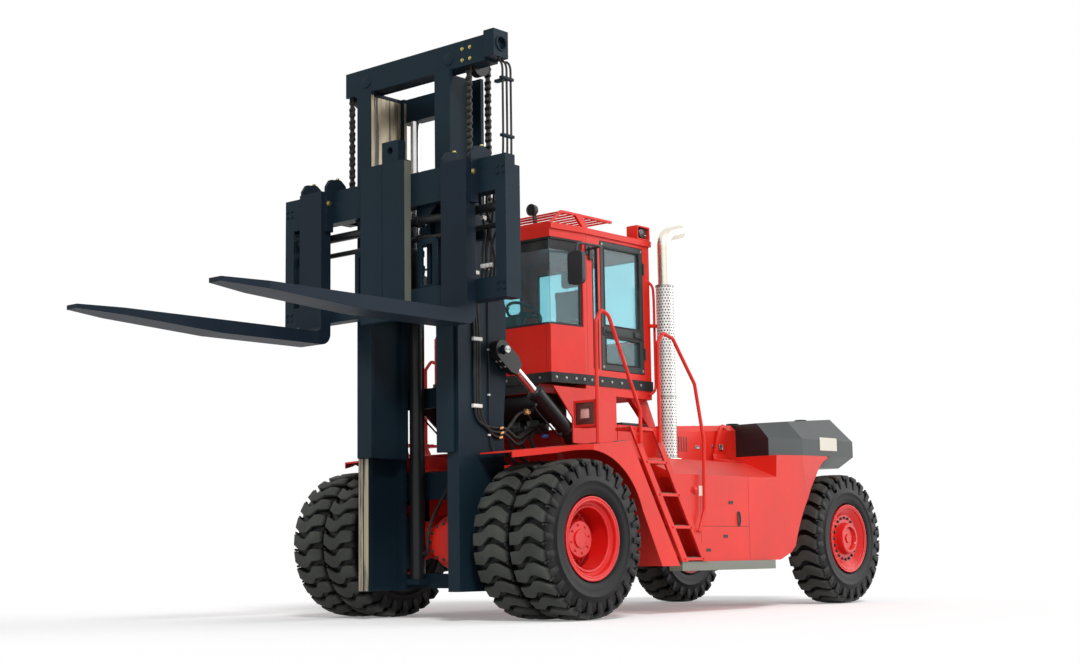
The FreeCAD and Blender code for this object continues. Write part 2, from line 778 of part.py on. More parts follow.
def ladder():
    """Five treads between two raked stringers."""
    pieces = []
    for foot in ("1470", "1470 + ladder_width"):
        pieces.append(prism("YZ", [
            (f"{foot} - ladder_lean", "ladder_top"), (f"{foot} - ladder_lean + 75", "ladder_top"),
            (f"{foot} + 95", "body_bottom"), (foot, "body_bottom"),
        ], "fender_outer_x - 45", 25))
    for k in range(5):
        z = f"(body_bottom + 10 + {k} * tread_step)"
        y0 = f"(1480 - {k} * tread_step * ladder_lean / (ladder_top - body_bottom))"
        pieces.append(box("fender_outer_x - 230", "fender_outer_x - 20", y0, f"{y0} + ladder_width + 40",
                          z, f"{z} + tread"))
    return fused(*pieces)


node("ladders", pair(ladder()))

front_rail = pipe([
    (rail_x, 165, fender_top(165 + rail_radius) + size.seal_gap), (rail_x, 165, 2760),
    (rail_x, 250, 2880), (rail_x, 360, 2830), (rail_x, 815, 1950), (rail_x, 815, 1640),
], 60, rail_radius)
rear_rail = pipe([
    (rail_x, 1120, 1660), (rail_x, 1120, 2640), (rail_x, 1210, 2740), (rail_x, 1370, 2700),
    (rail_x, 1720, 2270), (rail_x, 1850, 1720), (rail_x, 1830, 1010), (rail_x, 1730, 800),
], 50, rail_radius)
node("handrails", pair(group(front_rail, rear_rail)))

lamp_plate = prism("YZ", [
    ("lamp_front", f"{fender_top(size.lamp_front)} + seal_gap"),
    ("lamp_plate_rear", f"{fender_top(size.lamp_plate_rear)} + seal_gap"), ("lamp_plate_rear", "lamp_top"),
    ("lamp_front", "lamp_top"),
], "lamp_plate_x", 15)
lamp_box = box("lamp_plate_x - lamp_width", "lamp_plate_x", "lamp_front", "lamp_front + lamp_depth",
               "lamp_bottom", "lamp_top")
lamp_recess = box("lamp_plate_x - lamp_width + 22", "lamp_plate_x - 22", "lamp_front - 5",
                  "lamp_front + 70", "lamp_bottom + 22", "lamp_top - 22")
node("headlamps", pair(fused(lamp_plate, cut(lamp_box, lamp_recess))))

mirror_head = box("mirror_x", "mirror_x + mirror_width", "mirror_y", "mirror_y + mirror_depth",
                  "mirror_z", "mirror_z + mirror_height")
mirror_arm = pipe([
    (size.cab_half, size.cab_pillar_y + 40, size.mirror_z + size.mirror_height + 50),
    (size.mirror_x + 110, size.cab_pillar_y + 40, size.mirror_z + size.mirror_height + 50),
    (size.mirror_x + 110, size.mirror_y + size.mirror_depth - 5, size.mirror_z + size.mirror_height - 50),
], 30, 12)
node("mirrors", pair(fused(mirror_head, mirror_arm)))

# ---------------------------------------------------------------- exhaust

stack = pipe([
    (size.stack_x, size.stack_y, size.body_top), (size.stack_x, size.stack_y, 3920),
    (size.stack_x - 20, size.stack_y + 330, 4010),
], 150, size.stack_radius)
guard = tube("Z", "stack_x", "stack_y", "body_top", "stack_radius + 20", "stack_radius + 14",
             "stack_guard_height")
guard_foot = box("stack_x - 95", "stack_x + 95", "stack_y - 95", "stack_y + 95", "body_top",
                 "body_top + 12")
node("exhaust_stack", fused(stack, guard, guard_foot))

# ---------------------------------------------------------------- cab

cab_plan = [
    ("-cab_nose_half", "cab_front"), ("cab_nose_half", "cab_front"), ("cab_half", "cab_pillar_y"),
    ("cab_half", "cab_rear"), ("-cab_half", "cab_rear"), ("-cab_half", "cab_pillar_y"),
]
cab_inside = [
    ("-cab_nose_half + cab_wall", "cab_front + cab_wall"),
    ("cab_nose_half - cab_wall", "cab_front + cab_wall"),
    ("cab_half - cab_wall", "cab_pillar_y"), ("cab_half - cab_wall", "cab_rear - cab_wall"),
    ("-cab_half + cab_wall", "cab_rear - cab_wall"), ("-cab_half + cab_wall", "cab_pillar_y"),
]
cab_block = prism("XY", cab_plan, "cab_floor", "cab_top - cab_floor")
cab_room = prism("XY", cab_inside, "cab_floor + 40", "cab_top - cab_floor")
front_opening = box("-cab_half - 10", "cab_half + 10", "cab_front - 10", "cab_pillar_y - 20",
                    "glass_bottom", "glass_top")
sidelight = box(0, "cab_half + 10", "sidelight_front", "sidelight_rear", "door_bottom", "door_top - 60")
door_opening = box(0, "cab_half + 10", "door_front - panel_gap", "door_rear + panel_gap",
                   "door_bottom - panel_gap", "door_top + panel_gap")
right_opening = box("-cab_half - 10", 0, "door_front", "door_rear", 2860, 3700)
rear_opening = box("-cab_half + 160", "cab_half - 160", "cab_rear - cab_wall - 10", "cab_rear + 10",
                   2800, 3680)
node("cab_shell", cut(cab_block, cab_room, front_opening, sidelight, door_opening,
                      right_opening, rear_opening))

roof = prism("XY", [
    ("-cab_nose_half - 20", "cab_front"), ("cab_nose_half + 20", "cab_front"),
    ("cab_half + 20", "cab_pillar_y"), ("cab_half + 20", "cab_rear + 20"),
    ("-cab_half - 20", "cab_rear + 20"), ("-cab_half - 20", "cab_pillar_y"),
], "cab_top", "roof_thickness")
guard_rise = 150
guard_parts = []
for side in ("-cab_nose_half", "cab_nose_half - 30"):
    guard_parts.append(prism("YZ", [
        ("cab_front + 30", "cab_top + roof_thickness - 10"),
        ("cab_front + 205", f"cab_top + roof_thickness + {guard_rise} - 25"),
        ("cab_pillar_y + 530", f"cab_top + roof_thickness + {guard_rise} - 25"),
        ("cab_pillar_y + 530", f"cab_top + roof_thickness + {guard_rise}"),
        ("cab_front + 195", f"cab_top + roof_thickness + {guard_rise}"),
        ("cab_front + 5", "cab_top + roof_thickness - 10"),
    ], side, 30))
    guard_parts.append(prism("YZ", [
        ("cab_pillar_y - 60", f"cab_top + roof_thickness + {guard_rise} - 20"),
        ("cab_pillar_y + 80", "cab_top + roof_thickness - 5"),
        ("cab_pillar_y + 150", "cab_top + roof_thickness - 5"),
        ("cab_pillar_y + 60", f"cab_top + roof_thickness + {guard_rise} - 20"),
    ], side, 30))
for k in range(9):
    y0 = f"cab_front + 205 + {k * 95}"
    guard_parts.append(box("-cab_nose_half + 10", "cab_nose_half - 10", y0, f"{y0} + 16",
                           f"cab_top + roof_thickness + {guard_rise} - 20",
                           f"cab_top + roof_thickness + {guard_rise} - 4"))
for k in range(3):
    y0 = f"cab_front + 48 + {k * 50}"
    z0 = f"cab_top + roof_thickness + {12 + k * 41}"
    guard_parts.append(box("-cab_nose_half + 10", "cab_nose_half - 10", y0, f"{y0} + 16", z0, f"{z0} + 14"))
node("cab_roof", fused(roof, *guard_parts))

# One wide pane bent round both front corners, back to the door pillars.
half_screen = [
    ("cab_nose_half - 18", "cab_front + 18"), ("cab_half - 22", "cab_pillar_y - 20 - seal_gap"),
    ("cab_half - 22 - glass", "cab_pillar_y - 20 - seal_gap"),
    ("cab_nose_half - 18 - glass", "cab_front + 18 + glass"),
]
windshield = prism("XY", half_screen + [(f"-({x})", y) for x, y in reversed(half_screen)],
                   "glass_bottom + seal_gap", "glass_top - glass_bottom - 2 * seal_gap")
side_pane = box("cab_half - 26", "cab_half - 26 + glass", "sidelight_front + seal_gap",
                "sidelight_rear - seal_gap", "door_bottom + seal_gap", "door_top - 60 - seal_gap")
right_pane = box("-cab_half + 18", "-cab_half + 18 + glass", "door_front + seal_gap", "door_rear - seal_gap",
                 "2860 + seal_gap", "3700 - seal_gap")
rear_pane = box("-cab_half + 160 + seal_gap", "cab_half - 160 - seal_gap", "cab_rear - 26",
                "cab_rear - 26 + glass", "2800 + seal_gap", "3680 - seal_gap")
node("cab_glass", group(windshield, side_pane, right_pane, rear_pane))

band = prism("XY", [
    ("-cab_nose_half - 12", "cab_front - 12"), ("cab_nose_half + 12", "cab_front - 12"),
    ("cab_half + 12", "cab_pillar_y - 5"), ("cab_half + 12", "cab_rear + 12"),
    ("-cab_half - 12", "cab_rear + 12"), ("-cab_half - 12", "cab_pillar_y - 5"),
], "cab_floor - band_height", "band_height")
node("cab_band", group(band))

# Pedestal: the platform under the cab on two side plates with a raked front edge that cover the tilt
# cylinders' feet, and two raked braces at the rear. It is open from side to side.
platform_top = "cab_floor - band_height"
platform = prism("XY", [
    ("-tilt_x + 125", "cab_front"), ("tilt_x - 125", "cab_front"), ("tilt_x - 125", "cab_pillar_y"),
    ("cab_half", "cab_pillar_y"), ("cab_half", "cab_rear"), ("-cab_half", "cab_rear"),
    ("-cab_half", "cab_pillar_y"), ("-tilt_x + 125", "cab_pillar_y"),
], f"{platform_top} - platform_thickness", "platform_thickness")
pedestal_side = prism("YZ", [
    ("cab_pillar_y", "frame_top + deck_plate / 2"), ("cover_front - 20", "frame_top + deck_plate / 2"),
    ("cover_front - 20", f"{platform_top} - 40"), ("cab_pillar_y", f"{platform_top} - 40"),
], "cab_half - 50", 50)
cheek = prism("YZ", [
    ("400", f"{platform_top} - 45"), ("690", "1925"), ("690", "fender_crest + 20"),
    ("cab_pillar_y", "fender_crest + 20"), ("cab_pillar_y", "frame_top + deck_plate / 2"),
    ("cover_front - 20", "frame_top + deck_plate / 2"), ("cover_front - 20", f"{platform_top} - 45"),
], "cab_half - 1", 16)
post = prism("YZ", [
    ("cab_rear - 290", f"{platform_top} - platform_thickness + 5"),
    ("cab_rear - 10", f"{platform_top} - platform_thickness + 5"), ("cab_rear + 140", "cover_top - 30"),
    ("cab_rear + 20", "cover_top - 30"),
], "cab_half - 120", 60)
lug_wall = box("tilt_x - 105", "cab_half", "tilt_rear_y + 116", "tilt_rear_y + 150",
               "frame_top + deck_plate / 2", "tilt_rear_z + 200")
lugs = []
for x0 in ("tilt_x - 90", "tilt_x + 62"):
    plate = box(x0, f"{x0} + 28", "tilt_rear_y", "tilt_rear_y + 130", "tilt_rear_z - 75", "tilt_rear_z + 75")
    lugs.append(fused(plate, rod("X", x0, "tilt_rear_y", "tilt_rear_z", 75, 28)))
lug_pin = rod("X", "tilt_x - 100", "tilt_rear_y", "tilt_rear_z", "tilt_pin_radius", 200)
half_pedestal = fused(pedestal_side, cheek, post, lug_wall, lug_pin, *lugs)
node("cab_pedestal", fused(platform, half_pedestal, mirrored(half_pedestal)))

# Driver's place.
seat_base = box(-230, 230, 1330, 1800, "cab_floor + 40", "cab_floor + 330")
seat_frame = box(-220, 220, 1790, 1840, "cab_floor + 330", "cab_floor + 960")
node("driver_seat", fused(seat_base, seat_frame,
                          box(-220, 220, 1700, 1800, "cab_floor + 320", "cab_floor + 330")))
node("seat_cushions", group(
    box(-235, 235, 1300, 1785, "cab_floor + 330 + seal_gap", "cab_floor + 450"),
    box(-225, 225, 1660, "1790 - seal_gap", "cab_floor + 460", "cab_floor + 1060")))

console = box(-520, -300, 1150, 1800, "cab_floor + 40", "cab_floor + 560")
column = pipe([(0, 700, size.cab_floor + 90), (0, 760, size.cab_floor + 400),
               (0, 960, size.cab_floor + 700)], 60, 45)
panel = box(-260, 260, 560, 720, "cab_floor + 40", "cab_floor + 460")
wheel_tilt = FreeCAD.Rotation(axes["Z"], V(0, 0.555, 0.832))
steering_ring = doc.addObject("Part::Torus", "steering_ring")
steering_ring.Radius1 = 190
steering_ring.Radius2 = 16
steering_ring.Placement = FreeCAD.Placement(V(0, 0, 0), wheel_tilt)
place(steering_ring, 0, 960, "cab_floor + 700")
spoke = rod("X", -185, 960, "cab_floor + 700", 12, 370)
node("dashboard", group(fused(panel, column, steering_ring, spoke), console))

# Door: a framed leaf with a long upper pane and a short lower one.
door_leaf = box("cab_half - door_thickness", "cab_half + 4", "door_front", "door_rear",
                "door_bottom", "door_top")
upper_pane_hole = box("cab_half - 100", "cab_half + 50", "door_front + 50", "door_rear - 50",
                      "door_bottom + 450", "door_top - 50")
lower_pane_hole = box("cab_half - 100", "cab_half + 50", "door_front + 60", "door_rear - 60",
                      "door_bottom + 60", "door_bottom + 340")
hinge = rod("Z", "cab_half + 11 + seal_gap", "door_rear + panel_gap", "door_bottom + 150", 11, 120)
hinge_top = rod("Z", "cab_half + 11 + seal_gap", "door_rear + panel_gap", "door_top - 270", 11, 120)
node("cab_door", fused(cut(door_leaf, upper_pane_hole, lower_pane_hole), hinge, hinge_top))
node("door_glass", group(
    box("cab_half - 24", "cab_half - 24 + glass", "door_front + 50.3", "door_rear - 50.3",
        "door_bottom + 450.3", "door_top - 50.3"),
    box("cab_half - 24", "cab_half - 24 + glass", "door_front + 60.3", "door_rear - 60.3",
        "door_bottom + 60.3", "door_bottom + 339.7")))

# ---------------------------------------------------------------- mast, outer stage

# Outer rail: a channel open to the middle; its web is a deep side plate that carries the tilt
# cylinder pin and the bearing that clasps the axle tube.
rail_web = prism("YZ", [
    ("-mast_reach", "mast_bottom"), ("-115", "mast_bottom"), ("-115", "1900"), ("-70", "2350"),
    ("-70", "2950"), ("-150", "3250"), ("-150", "mast_top"), ("-mast_reach", "mast_top"),
], "mast_half - mast_web", "mast_web")
front_flange = box("mast_half - mast_flange_width", "mast_half", "-mast_reach",
                   "-mast_reach + mast_flange", "mast_bottom", "mast_top")
rear_flange = box("mast_half - mast_flange_width", "mast_half", "-mast_reach + mast_depth - mast_flange",
                  "-mast_reach + mast_depth", "mast_bottom", "mast_top")
clasp_arm = prism("YZ", [
    ("-mast_reach + mast_depth - 1", "tyre_radius - 260"), ("40", "tyre_radius - 235"),
    ("40", "tyre_radius + 235"), ("-mast_reach + mast_depth - 1", "tyre_radius + 260"),
], "trunnion_x", "trunnion_width")
clasp_ring = rod("X", "trunnion_x", 0, "tyre_radius", "axle_tube_radius + trunnion_wall", "trunnion_width")
clasp_bore = rod("X", "trunnion_x - 5", 0, "tyre_radius", "axle_tube_radius + running_clearance",
                 "trunnion_width + 10")
clasp = cut(fused(clasp_arm, clasp_ring), clasp_bore)
tilt_pin = rod("X", "mast_half - 10", "tilt_front_y", "tilt_front_z", "tilt_pin_radius", 190)
pin_boss = rod("X", "mast_half - 10", "tilt_front_y", "tilt_front_z", "tilt_pin_radius + 40", 25)
wear_pad = box("mast_half - mast_flange_width", "mast_half - 60",
               "-inner_reach + inner_flange + running_clearance", "-mast_reach + 1",
               "mast_top - 260", "mast_top - 20")
anchor = box("mast_half - 10", "chain_x + chain_width / 2 + 10", "sheave_y + sheave_radius - 20",
             "sheave_y + sheave_radius + chain_depth + 20", "mast_top - 360", "mast_top - 250")
web_bore = rod("X", "mast_half - mast_web - 5", 0, "tyre_radius", "axle_tube_radius + running_clearance",
               "mast_web + 10")
outer_rail = fused(cut(rail_web, web_bore), front_flange, rear_flange, clasp, tilt_pin, pin_boss,
                   wear_pad, anchor)
outer_bars = []
for z0, z1 in (("mast_bottom + 20", "mast_bottom + 160"), ("1150", "1420"), ("2050", "2250"),
               ("mast_top - 250", "mast_top - 30")):
    outer_bars.append(box("-mast_half + 10", "mast_half - 10", -155, -125, z0, z1))
outer_feet = box("ram_x - 100", "inner_flange_x - 6", "ram_y - 90", -130,
                 "mast_bottom + 60", "mast_bottom + 110")
outer_tie = box("-mast_half + 10", "mast_half - 10", -175, -140, "mast_bottom + 20", "mast_bottom + 160")
node("outer_mast", fused(outer_rail, mirrored(outer_rail), outer_feet, mirrored(outer_feet),
                         outer_tie, *outer_bars))

barrel = cut(rod("Z", "ram_x", "ram_y", "mast_bottom + 110", "ram_radius", "ram_top - mast_bottom - 110"),
             rod("Z", "ram_x", "ram_y", 1250, "ram_rod_radius + running_clearance", "ram_top"))
node("lift_cylinders", pair(barrel))

# ---------------------------------------------------------------- mast, inner stage

# Inner rail: its front flange laps the outer one, its web passes inside and its rear flange runs in
# the outer channel; the carriage rollers run in the channel on its inner side.
lap_flange = box("inner_flange_x", "inner_half", "-inner_reach", "-inner_reach + inner_flange",
                 "inner_bottom", "head_bottom")
inner_plate = box("inner_web_x - inner_web", "inner_web_x", "-inner_reach + 5", "-inner_back - 5",
                  "inner_bottom", "head_bottom")
back_flange = box("inner_flange_x", "inner_half - 20", "-inner_back - inner_flange", "-inner_back",
                  "inner_bottom", "head_bottom")
inner_pad = box("inner_web_x + 20", "inner_half - 30", "-inner_back - 1",
                "-mast_reach + mast_depth - mast_flange - running_clearance",
                "inner_bottom + 20", "inner_bottom + 240")
inner_rail = fused(lap_flange, inner_plate, back_flange, inner_pad)
tie_bar = box("-inner_web_x + 5", "inner_web_x - 5", "-inner_back - 10", -175,
              "head_bottom - 240", "head_bottom")
node("inner_mast", fused(inner_rail, mirrored(inner_rail), tie_bar))

head_bar = box("-head_right", "head_left", "-head_reach", "-head_reach + head_depth",
               "head_bottom", "head_bottom + head_height")
head_end = box("head_left - 1", "head_left + 130", "-head_reach - 20", "-head_reach + head_depth",
               "head_bottom + 20", "head_bottom + head_height + 30")
head_hole = rod("X", "head_left + 100", "-head_reach + 80", "head_bottom + 150", 62, 60)
sheave_pocket = box("chain_x - chain_width / 2 - 12", "chain_x + chain_width / 2 + 12",
                    "-head_reach + 20", "-head_reach + head_depth + 5", "head_bottom - 5",
                    "sheave_z + sheave_radius + chain_depth + 8")
sheave_pin = rod("X", "chain_x - chain_width / 2 - 30", "sheave_y", "sheave_z", 25, "chain_width + 60")
node("crosshead", fused(cut(fused(head_bar, head_end), head_hole, sheave_pocket, mirrored(sheave_pocket)),
                        sheave_pin, mirrored(sheave_pin)))

sheave = cut(rod("X", "chain_x - chain_width / 2 - 5", "sheave_y", "sheave_z", "sheave_radius",
                 "chain_width + 10"),
             rod("X", "chain_x - chain_width / 2 - 6", "sheave_y", "sheave_z",
                 "25 + running_clearance", "chain_width + 12"))
node("chain_sheaves", pair(sheave))

ram_rod = rod("Z", "ram_x", "ram_y", "ram_top - 1000", "ram_rod_radius", "head_bottom - 240 - ram_top + 1000")
node("lift_rods", pair(ram_rod))


def chain_run(y0, z0):
    """A flat leaf chain hanging from the sheave's height to its anchor."""
    return box("chain_x - chain_width / 2", "chain_x + chain_width / 2", y0, f"{y0} + chain_depth",
               z0, "sheave_z")


node("carriage_chains", pair(chain_run("sheave_y - sheave_radius - chain_depth - 1", "carriage_top - 200")))
node("anchor_chains", pair(chain_run("sheave_y + sheave_radius + 1", "mast_top - 250")))

# ---------------------------------------------------------------- carriage

reach = "-carriage_reach"
inner_end = "carriage_half - carriage_end"
top_bar = box(f"-({inner_end}) - 1", f"{inner_end} + 1", reach, f"{reach} + beam_depth",
              "carriage_top - top_beam", "carriage_top")
bottom_bar = box(f"-({inner_end}) - 1", f"{inner_end} + 1", reach, f"{reach} + beam_depth",
                 "carriage_bottom", "carriage_bottom + bottom_beam")
end_plate = box(inner_end, "carriage_half", reach, f"{reach} + end_plate_depth",
                "carriage_bottom", "carriage_top")
end_notch = box(f"{inner_end} - 5", "carriage_half + 5", f"{reach} + 130", f"{reach} + 300",
                "carriage_top - 90", "carriage_top + 5")
end_cut = cut(end_plate, end_notch)
column_half_plate = box(3, "column_half", "-column_reach", f"{reach} + 1", "column_bottom", "column_top")
column_core = box("-column_half + 40", "column_half - 40", "-column_reach + 30", f"{reach} + 40",
                  "column_bottom + 40", "column_top - 40")
roller_plate = box("inner_flange_x - 70", "inner_flange_x - 25", f"{reach} + beam_depth - 1",
                   "-inner_back - 80", "carriage_bottom + 20", "carriage_top - 170")
track_middle = "(inner_reach - inner_flange + inner_back + inner_flange) / 2"
rollers = []
for z0 in ("carriage_bottom + 230", "carriage_top - 300"):
    rollers.append(rod("X", "inner_flange_x - 20", f"-{track_middle}", z0,
                       "(inner_reach - 2 * inner_flange - inner_back) / 2 - running_clearance",
                       "inner_web_x - inner_web - 2 - inner_flange_x + 20"))
    rollers.append(rod("X", "inner_flange_x - 30", f"-{track_middle}", z0, 60, 20))
chain_lug = box("chain_x - chain_width / 2 - 20", "chain_x + chain_width / 2 + 20",
                f"{reach} + beam_depth - 1", "sheave_y - sheave_radius + 5",
                "carriage_top - 310", "carriage_top - 200")
top_block = box(-30, 190, f"{reach} - 60", f"{reach} + 40", "column_top - 5", "column_top + 215")
block_hole = rod("Y", 80, f"{reach} - 65", "column_top + 120", 38, 110)
half_carriage = fused(end_cut, column_half_plate, roller_plate, chain_lug, *rollers)
node("carriage", fused(top_bar, bottom_bar, column_core, cut(top_block, block_hole), half_carriage,
                       mirrored(half_carriage)))

positioner = [
    rod("X", "-carriage_half + carriage_end", "-carriage_reach + 95", "carriage_top - 450", 42,
        "2 * (carriage_half - carriage_end)"),
    rod("X", "-carriage_half + carriage_end", "-carriage_reach + 100", "carriage_top - 620", 25,
        "2 * (carriage_half - carriage_end)"),
]
node("positioner_rods", group(*positioner))

# ---------------------------------------------------------------- forks

fork_back = "-fork_face + fork_thickness"
fork_side = [
    ("-fork_face", "carriage_top - 10"), ("-fork_face", "fork_top"), ("-fork_tip", "fork_top"),
    ("-fork_tip", "fork_top - fork_tip_thickness"), ("-fork_tip + 1500", "fork_top - fork_thickness"),
    (fork_back, "fork_top - fork_thickness"), (fork_back, "carriage_top - 10"),
]
fork_body = prism("YZ", fork_side, "fork_x - fork_width / 2", "fork_width")


def heel_edge(edge, y, z):
    middle = edge.CenterOfMass
    return along(edge, "X") and abs(middle.y - y) < 1 and abs(middle.z - z) < 1


rounded(fork_body, 55, lambda edge: heel_edge(edge, -size.fork_face, size.fork_top))
rounded(fork_body, 110, lambda edge: heel_edge(edge, -size.fork_face + size.fork_thickness,
                                               size.fork_top - size.fork_thickness))
tip_wedge = prism("XY", [
    ("fork_x + fork_tip_width / 2", "-fork_tip - 1"), ("fork_x + fork_width / 2 + 10", "-fork_tip - 1"),
    ("fork_x + fork_width / 2 + 10", "-fork_tip + 420"), ("fork_x + fork_width / 2", "-fork_tip + 420"),
], "fork_top - 300", 400)
tip_wedge_inner = prism("XY", [
    ("fork_x - fork_tip_width / 2", "-fork_tip - 1"), ("fork_x - fork_width / 2 - 10", "-fork_tip - 1"),
    ("fork_x - fork_width / 2 - 10", "-fork_tip + 420"), ("fork_x - fork_width / 2", "-fork_tip + 420"),
], "fork_top - 300", 400)
hook_side = [
    ("-fork_face + 40", "3780"), ("-fork_face + 40", "carriage_top + 40"),
    ("-fork_face + 90", "carriage_top + 115"), ("-carriage_reach + 100", "carriage_top + 130"),
    ("-carriage_reach + beam_depth + 30", "carriage_top + 75"),
    ("-carriage_reach + beam_depth + 30", "carriage_top - 160"),
    ("-carriage_reach + beam_depth + running_clearance", "carriage_top - 160"),
    ("-carriage_reach + beam_depth + running_clearance", "carriage_top + running_clearance"),
    ("-carriage_reach - running_clearance", "carriage_top + running_clearance"),
    ("-carriage_reach - running_clearance", "3780"),
]
hooks = [rounded(prism("YZ", hook_side, start, "hook_plate"), 34,
                 lambda edge: along(edge, "X") and edge.BoundBox.ZMin > size.carriage_top + 30)
         for start in ("fork_x - fork_width / 2 - hook_plate", "fork_x + fork_width / 2")]
bridge = box("fork_x - fork_width / 2", "fork_x + fork_width / 2", fork_back,
             "-carriage_reach - running_clearance", 3790, "carriage_top - 10")
twin_nodes("fork", fused(cut(fork_body, tip_wedge, tip_wedge_inner), bridge, *hooks))

# ---------------------------------------------------------------- tilt cylinders

# Drawn along +Z from the rear pin, then leaned over to the front pin.
lean = "atan2(tilt_rear_y - tilt_front_y; tilt_front_z - tilt_rear_z)"
reach_length = "hypot(tilt_rear_y - tilt_front_y; tilt_front_z - tilt_rear_z)"


def leaned(piece):
    piece.Placement = FreeCAD.Placement(V(0, 0, 0), FreeCAD.Rotation(axes["X"], 45))
    bind(piece, "Placement.Rotation.Angle", lean)
    return piece


eye_bore = "tilt_pin_radius + tilt_eye_clearance"
for_barrel = [
    rod("X", "tilt_x - 58", 0, 0, 78, 116),
    rod("Z", "tilt_x", 0, 50, 55, 60),
    rod("Z", "tilt_x", 0, 95, "tilt_barrel_radius", "tilt_barrel_length - 95"),
]
barrel_bores = [
    rod("X", "tilt_x - 60", 0, 0, "tilt_pin_radius + running_clearance", 120),
    rod("Z", "tilt_x", 0, 130, "tilt_rod_radius + running_clearance", "tilt_barrel_length"),
]
tilt_barrel = leaned(cut(fused(*for_barrel), *barrel_bores))
node("tilt_barrels", pair(place(tilt_barrel, 0, "tilt_rear_y", "tilt_rear_z")))
head_start = f"({reach_length} - tilt_head_length)"
tilt_rod = leaned(group(rod("Z", "tilt_x", 0, 400, "tilt_rod_radius", f"{head_start} - 400")))
node("tilt_rods", pair(place(tilt_rod, 0, "tilt_rear_y", "tilt_rear_z")))
rod_head = prism("YZ", [
    ("-60", head_start), ("60", head_start), ("tilt_head_radius", f"{head_start} + 80"),
    ("tilt_head_radius", reach_length), ("-tilt_head_radius", reach_length),
    ("-tilt_head_radius", f"{head_start} + 80"),
], "tilt_x - tilt_head_width / 2", "tilt_head_width")
rod_eye = rod("X", "tilt_x - tilt_head_width / 2", 0, reach_length, "tilt_head_radius", "tilt_head_width")
rod_bore = rod("X", "tilt_x - 60", 0, reach_length, eye_bore, 120)
tilt_head = leaned(cut(fused(rod_head, rod_eye), rod_bore))
node("tilt_rod_heads", pair(place(tilt_head, 0, "tilt_rear_y", "tilt_rear_z")))

# ---------------------------------------------------------------- check and export

doc.recompute()
for item in doc.Objects:
    if "Invalid" in item.State or "Error" in item.State:
        raise RuntimeError(f"{item.Label} failed: {item.State}")

os.makedirs("parts", exist_ok=True)
for piece in nodes:
    shape = piece.Shape
    if shape.isNull() or not shape.isValid() or not shape.Solids:
        raise RuntimeError(f"{piece.Label} has no valid shape")
    shape.exportStep(f"parts/{piece.Label}.step")
    print(piece.Label, len(shape.Solids), round(shape.Volume / 1e6, 1))
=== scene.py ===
import math
import json
import bmesh
import bpy
from mathutils import Matrix, Vector


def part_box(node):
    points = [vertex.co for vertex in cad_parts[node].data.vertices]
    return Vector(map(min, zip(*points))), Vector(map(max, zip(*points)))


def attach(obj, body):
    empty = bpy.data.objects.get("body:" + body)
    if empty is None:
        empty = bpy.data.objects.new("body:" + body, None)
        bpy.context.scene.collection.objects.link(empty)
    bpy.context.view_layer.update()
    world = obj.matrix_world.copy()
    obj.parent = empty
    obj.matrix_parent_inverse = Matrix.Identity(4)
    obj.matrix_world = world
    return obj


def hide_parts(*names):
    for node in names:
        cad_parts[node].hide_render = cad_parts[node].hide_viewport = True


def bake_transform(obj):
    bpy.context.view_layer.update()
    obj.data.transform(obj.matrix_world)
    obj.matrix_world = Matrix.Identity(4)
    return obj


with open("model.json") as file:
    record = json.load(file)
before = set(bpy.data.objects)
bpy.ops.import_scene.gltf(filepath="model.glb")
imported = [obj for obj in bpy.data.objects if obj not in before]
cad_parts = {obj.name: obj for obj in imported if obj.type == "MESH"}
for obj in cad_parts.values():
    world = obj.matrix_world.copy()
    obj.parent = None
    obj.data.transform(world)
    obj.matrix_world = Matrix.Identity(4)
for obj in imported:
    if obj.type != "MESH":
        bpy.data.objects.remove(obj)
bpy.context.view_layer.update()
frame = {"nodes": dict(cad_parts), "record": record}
nodes = frame["nodes"]
scene = bpy.context.scene
print("frame loaded:", len(nodes), "nodes")

frontAxle = sum(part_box("front_axle"), Vector()) / 2
rearAxle = Vector((0, sum(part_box("rear_rim_left"), Vector()).y / 2, frontAxle.z))
wheelRadius = (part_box("rear_tyre_left")[1].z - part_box("rear_tyre_left")[0].z) / 2


def at(x, y, z):
    # a place with y counted back from the front axle
    return Vector((x, frontAxle.y + y, z))


camera = {"place": (11.262, -12.865, 0.58), "yaw": 0.714, "pitch": 0.135, "roll": -0.015, "lens": 55.24,
          "sensor": 36, "far": 400}


def placeCamera():
    yaw, pitch, roll = camera["yaw"], camera["pitch"], camera["roll"]
    ahead = Vector((-math.sin(yaw) * math.cos(pitch), math.cos(yaw) * math.cos(pitch), math.sin(pitch)))
    level = Vector((math.cos(yaw), math.sin(yaw), 0))
    above = level.cross(ahead)
    side = level * math.cos(roll) + above * math.sin(roll)
    up = above * math.cos(roll) - level * math.sin(roll)
    bpy.ops.object.camera_add()
    eye = bpy.context.object
    eye.name = "camera"
    turn = Matrix((side, up, -ahead)).transposed().to_4x4()
    eye.matrix_world = Matrix.Translation(camera["place"]) @ turn
    eye.data.lens = camera["lens"]
    eye.data.sensor_width = camera["sensor"]
    eye.data.clip_end = camera["far"]
    scene.camera = eye


studio = {"floorSize": 260, "floorColour": (0.9, 0.9, 0.9), "floorGlow": 0.22, "floorDrop": 0.001,
          "skyLevel": 0.36,
          "lights": {"key_light": {"power": 2.0, "spread": 0.25, "turn": (0.52, 0.78, 0)},
                     "side_light": {"power": 1.3, "spread": 0.9, "turn": (-0.8, 1.17, 0)}}}


def seenStraight(recipe):
    path = recipe.node("ShaderNodeLightPath")
    return path["Is Camera Ray"].larger(path["Is Glossy Ray"]).larger(path["Is Transmission Ray"])


